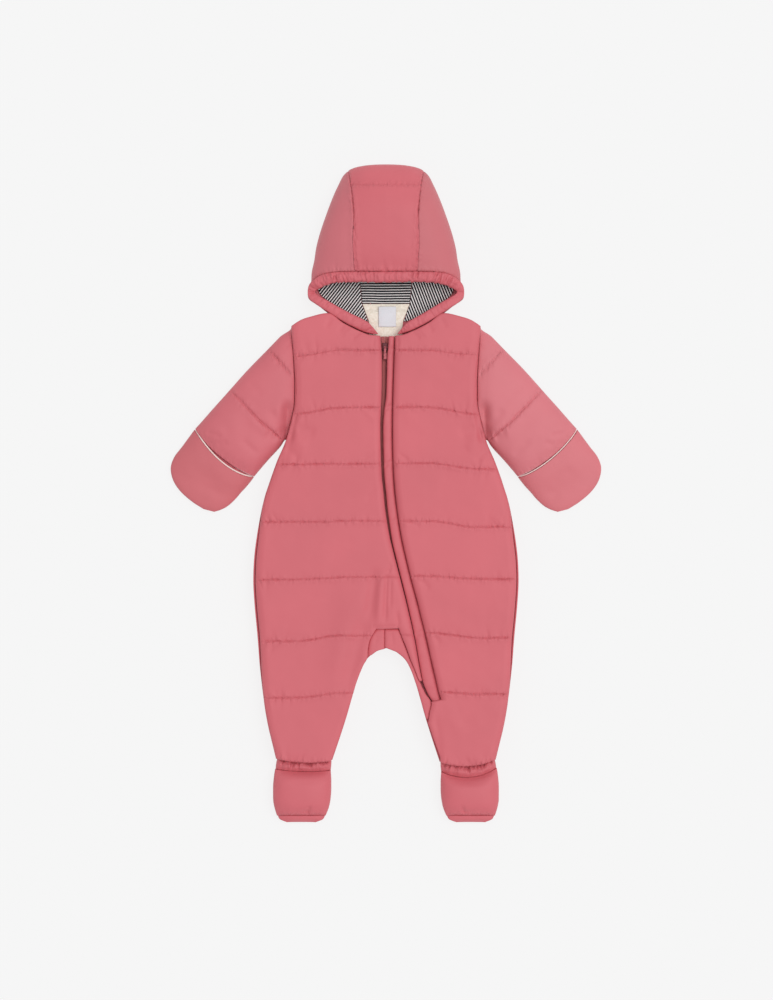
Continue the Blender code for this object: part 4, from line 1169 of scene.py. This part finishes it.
def to_brim(y, share, amount):
    """Rows y bent towards the curved seam of the brim, which the row at BRIM_ROW reaches."""
    brim = BRIM("y", share * 81 * MM)
    face = y + (brim - y) * np.clip((300 * MM - y) / (300 * MM - BRIM_ROW), 0, 1)
    mouth = MOUTH_END + (y - MOUTH_END) * (brim - MOUTH_END) / (BRIM_ROW - MOUTH_END)
    return between(y + 0 * share, np.where(y < BRIM_ROW, mouth, face), amount)


def hood_seam(side):
    """The long seam between a side of the hood and its centre panel."""
    return [(side * float(HOOD("centre", v)), v) for v in np.linspace(350, 246, 14) * MM]


def brim_line(half=80, lower=0.0):
    """The seam of the brim from side to side, as far as half mm out, or a line that much lower."""
    return [(v * MM, float(BRIM("y", abs(v) * MM)) - lower) for v in np.linspace(-half, half, 33)]


def hood_relief(x, y, seed):
    """Soft swells of the hood, puckers at its seams, and the dip of the quilting line."""
    total = 0.6 * MM * waves(x, y, 80 * MM, seed) + 0.15 * MM * waves(x, y, 25 * MM, seed + 2)
    for side in (1, -1):
        seam = hood_seam(side)
        for direction in (1, -1):
            total = total + puckers(
                x, y, seam, seed + 10 * side + 3 * direction, 6 * MM, 9 * MM, 1.2 * MM, side=direction,
                width=1.3 * MM,
            )
        away = np.abs(x - side * HOOD("centre", y))
        total = total - 2.2 * MM * (1 - rise(away, 3.5 * MM))
    total = total - 1.1 * MM * (1 - rise(y - BRIM("y", np.abs(x)), 3.5 * MM))
    total = total + puckers(
        x, y, brim_line(), seed + 40, 3.6 * MM, 13 * MM, 1.3 * MM, side=1, width=1.0 * MM, tilt=0.25
    )
    quilt = [(v * MM, CROWN_QUILT_Y) for v in (-37, 0, 37)]
    on_panel = step(HOOD("centre", y) - np.abs(x), 0, 3 * MM)
    for direction in (1, -1):
        total = total + on_panel * puckers(
            x, y, quilt, seed + 50 + direction, 4.5 * MM, 7 * MM, 1.0 * MM, side=direction, width=1.0 * MM
        )
    above = np.where(y > CROWN_QUILT_Y, 9 * MM, 4 * MM)
    return total - on_panel * 3.2 * MM * (1 - rise(np.abs(y - CROWN_QUILT_Y), above))


def hood_seams():
    """The hood's two long seams, its brim and its quilting line."""
    quilt = [(-37 * MM, CROWN_QUILT_Y), (37 * MM, CROWN_QUILT_Y)]
    return [hood_seam(1), hood_seam(-1), brim_line(), quilt]


def lifted(grid, relief):
    """The grid raised by a relief, which fades out where the hood turns down to its outline."""
    grid[..., 2] += relief * step(grid[..., 2], 8 * MM, 20 * MM)
    return grid


def build_hood_sides():
    """Each side runs from its upper seam, round the outline and under to its lower seam."""
    face_rows = between(349.6 * MM, BRIM_ROW, np.linspace(0, 1, 84))
    mouth_rows = between(BRIM_ROW, MOUTH_END, np.linspace(0, 1, 30))[1:]
    y = np.concatenate((face_rows, mouth_rows))[:, None]
    steps = 1 - (1 - np.linspace(0, 1, 44)) ** 1.5
    seam = (HOOD("centre", y) + GAP / 2) / HOOD("half", y)
    shares = between(seam, 1, steps)
    grids = []
    for outside in (True, False):
        over = hood_surface(y, shares, True, outside)
        under = hood_surface(y, shares[:, -2::-1], False, outside)
        grids.append((over, under))
    row, column = np.indices((len(y) - 1, 2 * len(steps) - 2))
    kept = (row < len(face_rows) - 1) | (column >= len(steps) - 1)
    for side, name in SIDES:
        over, under = grids[0]
        raised = lifted(over.copy(), hood_relief(side * over[..., 0], over[..., 1], 300))
        outer = np.concatenate((raised, under), axis=1)
        inner = np.concatenate(grids[1], axis=1)
        # The hood side's colour is the shell's with painted sheen
        piece = mirrored(f"hood_side_{name}", outer, inner, PAINTED_SHEEN_HOOD[side], side, kept=kept)
        gathered(piece, hood_seams())
        finished(piece)


def build_hood_centre():
    """The centre panel runs from the brim over the crown and down to the nape."""
    across = np.concatenate((-spaced(32, 0)[:0:-1], spaced(32, 0)))
    face_rows = between(BRIM_ROW, 349.6 * MM, np.linspace(0, 1, 84))
    crown_rows = np.array((351, 352.4, 353.8, 355, 355.9, 356.5, 356.9, 357.2)) * MM
    over_rows = np.concatenate((face_rows, crown_rows))
    mouth_rows = between(BRIM_ROW, MOUTH_END, np.linspace(0, 1, 20))[1:]
    under_rows = np.concatenate((over_rows[::-1][::2], mouth_rows))
    grids = []
    for outside in (True, False):
        parts = []
        for rows, over in ((over_rows, True), (under_rows, False)):
            y = rows[:, None]
            share = np.abs(across) * (HOOD("centre", y) - GAP / 2) / HOOD("half", y)
            part = hood_surface(y, share, over, outside)
            part[..., 0] *= np.sign(across)
            parts.append(part)
        over, under = parts
        if outside:
            over = lifted(over, hood_relief(over[..., 0], over[..., 1], 300))
        crown = (over[-1:] + under[:1]) / 2
        crown[..., 1] += 0.1 * MM
        grids.append(np.concatenate((over, crown, under)))
    piece = wall("hood_centre", *grids, SHELL)
    gathered(piece, hood_seams())
    finished(piece)


def build_hood_casing():
    """The elastic casing round the face: gathered over the brow, smoother down the cheeks."""
    count = len(CASING) - 1
    at = np.linspace(0, count, 420)
    fx, fy, ox, oy, low, high = (v[:, None] for v in stations(CASING, at))
    turn = np.linspace(0, math.tau, 28, endpoint=False)
    across = 0.5 - 0.5 * np.cos(turn)
    up = 0.5 + 0.5 * np.sign(np.sin(turn)) * np.abs(np.sin(turn)) ** 0.3
    brow = step(at, 6.2, 7.6)[:, None]
    oy = between(oy, BRIM("y", ox) - GAP / 6, step(at, 7, 8)[:, None])
    slanted = 2 * MM * (1 - step(at, 2, 4))[:, None]
    run = np.cumsum(np.hypot(np.gradient(fx[:, 0]), np.gradient(fy[:, 0])))[:, None]
    halves = []
    for side in (1, -1):
        gather = waves(run, 0 * run, 5.2 * MM, 141 + side)
        lean = waves(run, 2.0 * across * 8 * MM, 9 * MM, 147 + side)
        x, y = between(fx + side * slanted, ox, across), between(fy, oy, across)
        edges = (list(zip(ox[::10, 0], oy[::10, 0])), list(zip(fx[::10, 0], fy[::10, 0])))
        swell = 0.35 * MM * lean + 0.8 * MM * brow * gather
        for number, edge in enumerate(edges):
            swell = swell + between(0.6, 1.2, brow) * puckers(
                x, y, edge, 143 + side + 5 * number, 3.4 * MM, 11 * MM, 2.8 * MM, side=1 - 2 * number,
                width=0.9 * MM, tilt=0.3,
            )
        z = between(low, high, up) + swell * np.clip(np.sin(turn), 0, 1)
        y = y - 0.35 * MM * brow * gather * (1 - across) * 2
        halves.append(points(side * x, y, z))
    right = halves[1][::-1][1:]
    middle = (halves[0][-1:] + halves[1][-1:]) / 2
    rings = np.concatenate((halves[0][:-1], middle, right))
    piece = tube("hood_casing", rings, SHELL)
    gathered(piece, [brim_line(76, 5 * MM)], 7 * MM)
    finished(piece)


# ---------------------------------------------------------------- linings and label

NECK_LINING = Table("y half", (162, 20), (176, 18), (186, 18.5), (196, 22), (206, 25.5))
SIDE_LINING = Table(
    "y inner outer",
    (186.5, 18.9, 21), (192, 20.9, 34), (199, 23.3, 45), (206, 25.8, 57), (214, 26.6, 69), (222, 27.5, 73.5),
    (230, 28.3, 73), (238, 29, 72),
)
LINING = 1.3 * MM
NAPE_STEP = (196.3 * MM, 200.5 * MM)


def lining_surface(x, y, ripple):
    share = np.clip((y - NAPE_STEP[0]) / (NAPE_STEP[1] - NAPE_STEP[0]), 0, 1)
    profile = np.array(HOOD_UNDER)
    turned_up = curve(profile[:, 0], profile[:, 1], np.abs(x) / (HOOD("half", y) - HOOD_WALL))
    hood = HOOD_WALL + turned_up * (HOOD("top", y) - 2 * HOOD_WALL)
    low = between(NECK_INSIDE + 0 * x, hood, share) + GAP
    return points(x, y, low + LINING + ripple), points(x, y, low)


def build_linings():
    y = between(162 * MM, 206 * MM, np.linspace(0, 1, 50))[:, None]
    half = NECK_LINING("half", y)
    x = between(-half, half, np.linspace(0, 1, 44))
    pile = 0.25 * MM * waves(x, y, 3 * MM, 151) + 0.35 * MM * waves(x, y, 16 * MM, 153)
    top, low = lining_surface(x, y, np.abs(pile))
    finished(wall("lining_neck", top, low, FLEECE))
    y = between(206.4 * MM, 238 * MM, np.linspace(0, 1, 34))[:, None]
    half = SIDE_LINING("inner", y) - GAP
    x = between(-half, half, np.linspace(0, 1, 56))
    ripple = 0.5 * MM + 0.45 * MM * waves(x, y, 26 * MM, 155)
    top, low = lining_surface(x, y, np.clip(ripple, 0, None))
    finished(wall("lining_centre", top, low, JERSEY[0]))
    for side, name in SIDES:
        y = between(187 * MM, 238 * MM, np.linspace(0, 1, 52))[:, None]
        inner, outer = SIDE_LINING("inner", y) + GAP, SIDE_LINING("outer", y)
        x = between(inner, outer, np.linspace(0, 1, 36))
        ripple = 0.5 * MM + 0.5 * MM * waves(x, y, 24 * MM, 157 + side)
        top, low = lining_surface(x, y, np.clip(ripple, 0, None))
        piece = mirrored(f"lining_side_{name}", top, low, JERSEY[side], side)
        finished(piece)


def build_label():
    """A plain woven label with no words, its corners a little raised."""
    x = between(-8 * MM, 11 * MM, np.linspace(0, 1, 24))
    y = between(181 * MM, 203 * MM, np.linspace(0, 1, 26))[:, None]
    share = np.clip((y - 196 * MM) / (7 * MM), 0, 1)
    z = NECK_INSIDE + GAP + LINING + 0.9 * MM - 0.6 * MM * share + 0.25 * MM * waves(x, y, 16 * MM, 161)
    piece = wall("neck_label", points(x, y, z + 0.7 * MM), points(x, y, z), WOVEN)
    finished(piece)


# ---------------------------------------------------------------- zip and flap

TAPES_MEET = 4.6 * MM   # from the right front's edge


def zip_rows(count):
    return between(170.3 * MM, ZIP_END, np.linspace(0, 1, count))[:, None]


def build_placket():
    """The flap over the zip: sewn down on the left front, its other edge free."""
    y = zip_rows(230)
    across = spaced(16, 0.35)
    seam = ZIP("seam", y) - flap_gap(y)
    x = between(ZIP("flap", y), seam, across)
    crown = np.sqrt(np.clip(1 - np.abs(2 * across - 0.9) ** 2.4, 0, 1))
    base = 16.6 * MM + 0 * x
    lines = np.array([row[2] for row in LINES]) * MM
    dips = sum(np.exp(-((y - line) / (4 * MM)) ** 2) for line in lines)
    height = between(1.2 * MM, 4.6 * MM, crown) - 0.8 * MM * dips
    creases = 0.35 * MM * waves(x, y, 17 * MM, 171) + 0.2 * MM * waves(x, y, 7 * MM, 173)
    for line in lines[:6]:
        start = (float(ZIP("flap", line)), line - 4 * MM)
        end = (float(ZIP("seam", line)), line + 5 * MM)
        creases = creases - 0.9 * MM * crease(x, y, start, end, 1.6 * MM)
    top = points(x, y, base + np.maximum(height + creases * crown, 0.8 * MM))
    piece = wall("placket", top, points(x, y, base), SHELL)
    finished(piece)


def build_zip():
    """Two tapes that meet under the flap, each with a row of coil teeth along its edge."""
    y = zip_rows(160)
    bed = FRONT_INSIDE + 0.6 * MM
    meeting = ZIP("front", y) + TAPES_MEET
    for side, name in SIDES[::-1]:
        if side < 0:
            edges = (ZIP("front", y) + GAP, meeting - GAP / 2)
        else:
            edges = (meeting + GAP / 2, ZIP("seam", y) - GAP)
        x = between(*edges, np.linspace(0, 1, 8))
        low = points(x, y, bed)
        piece = wall(f"zip_tape_{name}", points(x, y, bed + 1 * MM), low, TAPE)
        finished(piece)
        build_teeth(name, side, bed + 1 * MM)


def build_teeth(name, side, floor):
    """The coil of one tape as short rounded loops, 1.5 mm apart."""
    pitch, reach, top_tooth = 1.5 * MM, 1.6 * MM, 148 * MM
    count = int((top_tooth - ZIP_END) / pitch)
    y = top_tooth - pitch * np.arange(count) + side * pitch / 4
    start = ZIP("front", y) + TAPES_MEET - side * 0.5 * MM
    turn = np.linspace(0, math.tau, 6, endpoint=False)
    ring = np.stack((0 * turn, np.cos(turn) * 0.33 * MM, np.sin(turn) * 0.33 * MM + 0.36 * MM), axis=-1)
    ends = points(start[:, None] + side * np.array((0, reach)), y[:, None], floor)
    vertices = (ends[:, :, None] + ring).reshape(-1, 3)
    around = [(n, 6 + n, 6 + (n + 1) % 6, (n + 1) % 6) for n in range(6)]
    loop = [*around, tuple(range(6)), tuple(range(11, 5, -1))]
    faces = [[12 * k + n for n in face[::-side]] for k in range(count) for face in loop]
    attached(mesh_object(f"zip_coil_{name}", vertices, faces, COIL, smooth=False))


def finish_metal():
    """The CAD slider and its tab keep their shape and take a finish."""
    for node, look in (("zip_slider", METAL), ("pull_tab", PULL)):
        thing = bpy.data.objects[node]
        thing.data.materials.clear()
        thing.data.materials.append(look)


# ---------------------------------------------------------------- stage

def build_stage():
    floor_look = Nodes("floor")
    floor_look.shade(Base_Color=(0.07, 0.07, 0.07, 1), Roughness=0.9)
    floor_look.shader.inputs["Emission Color"].default_value = (1, 1, 1, 1)
    floor_look.shader.inputs["Emission Strength"].default_value = 0.832
    size = 6.0
    corners = [(-size, -size, 0), (size, -size, 0), (size, size, 0), (-size, size, 0)]
    floor = mesh_object("floor", corners, [(0, 1, 2, 3)], floor_look.material, smooth=False)

    world = bpy.data.worlds.new("studio")
    world.use_nodes = True
    world.node_tree.nodes["Background"].inputs["Color"].default_value = (1, 1, 1, 1)
    world.node_tree.nodes["Background"].inputs["Strength"].default_value = 0.62
    bpy.context.scene.world = world

    lamp = bpy.data.lights.new("key", "SUN")
    lamp.angle = math.radians(45)
    lamp.energy = 1.4
    key = bpy.data.objects.new("key", lamp)
    key.location = (0.9, 0.3, 2.4)
    key.rotation_euler = (-key.location).to_track_quat("-Z", "Y").to_euler()
    bpy.context.scene.collection.objects.link(key)

    lens = bpy.data.cameras.new("camera")
    lens.lens = 100
    lens.sensor_fit = "VERTICAL"
    lens.sensor_height = 36
    camera = bpy.data.objects.new("camera", lens)
    camera.location = (0.0006, -0.0071, 1.09 * lens.lens / lens.sensor_height)
    bpy.context.scene.collection.objects.link(camera)
    bpy.context.scene.camera = camera
    bpy.context.scene.view_settings.view_transform = "Standard"


build_front_right()
build_front_left()
build_gusset()
build_back()
build_sleeves()
build_cuffs()
build_ankle_casings()
build_mittens()
build_booties()
build_hood_sides()
build_hood_centre()
build_hood_casing()
build_linings()
build_label()
build_placket()
build_zip()
finish_metal()
build_stage()

bpy.context.view_layer.update()
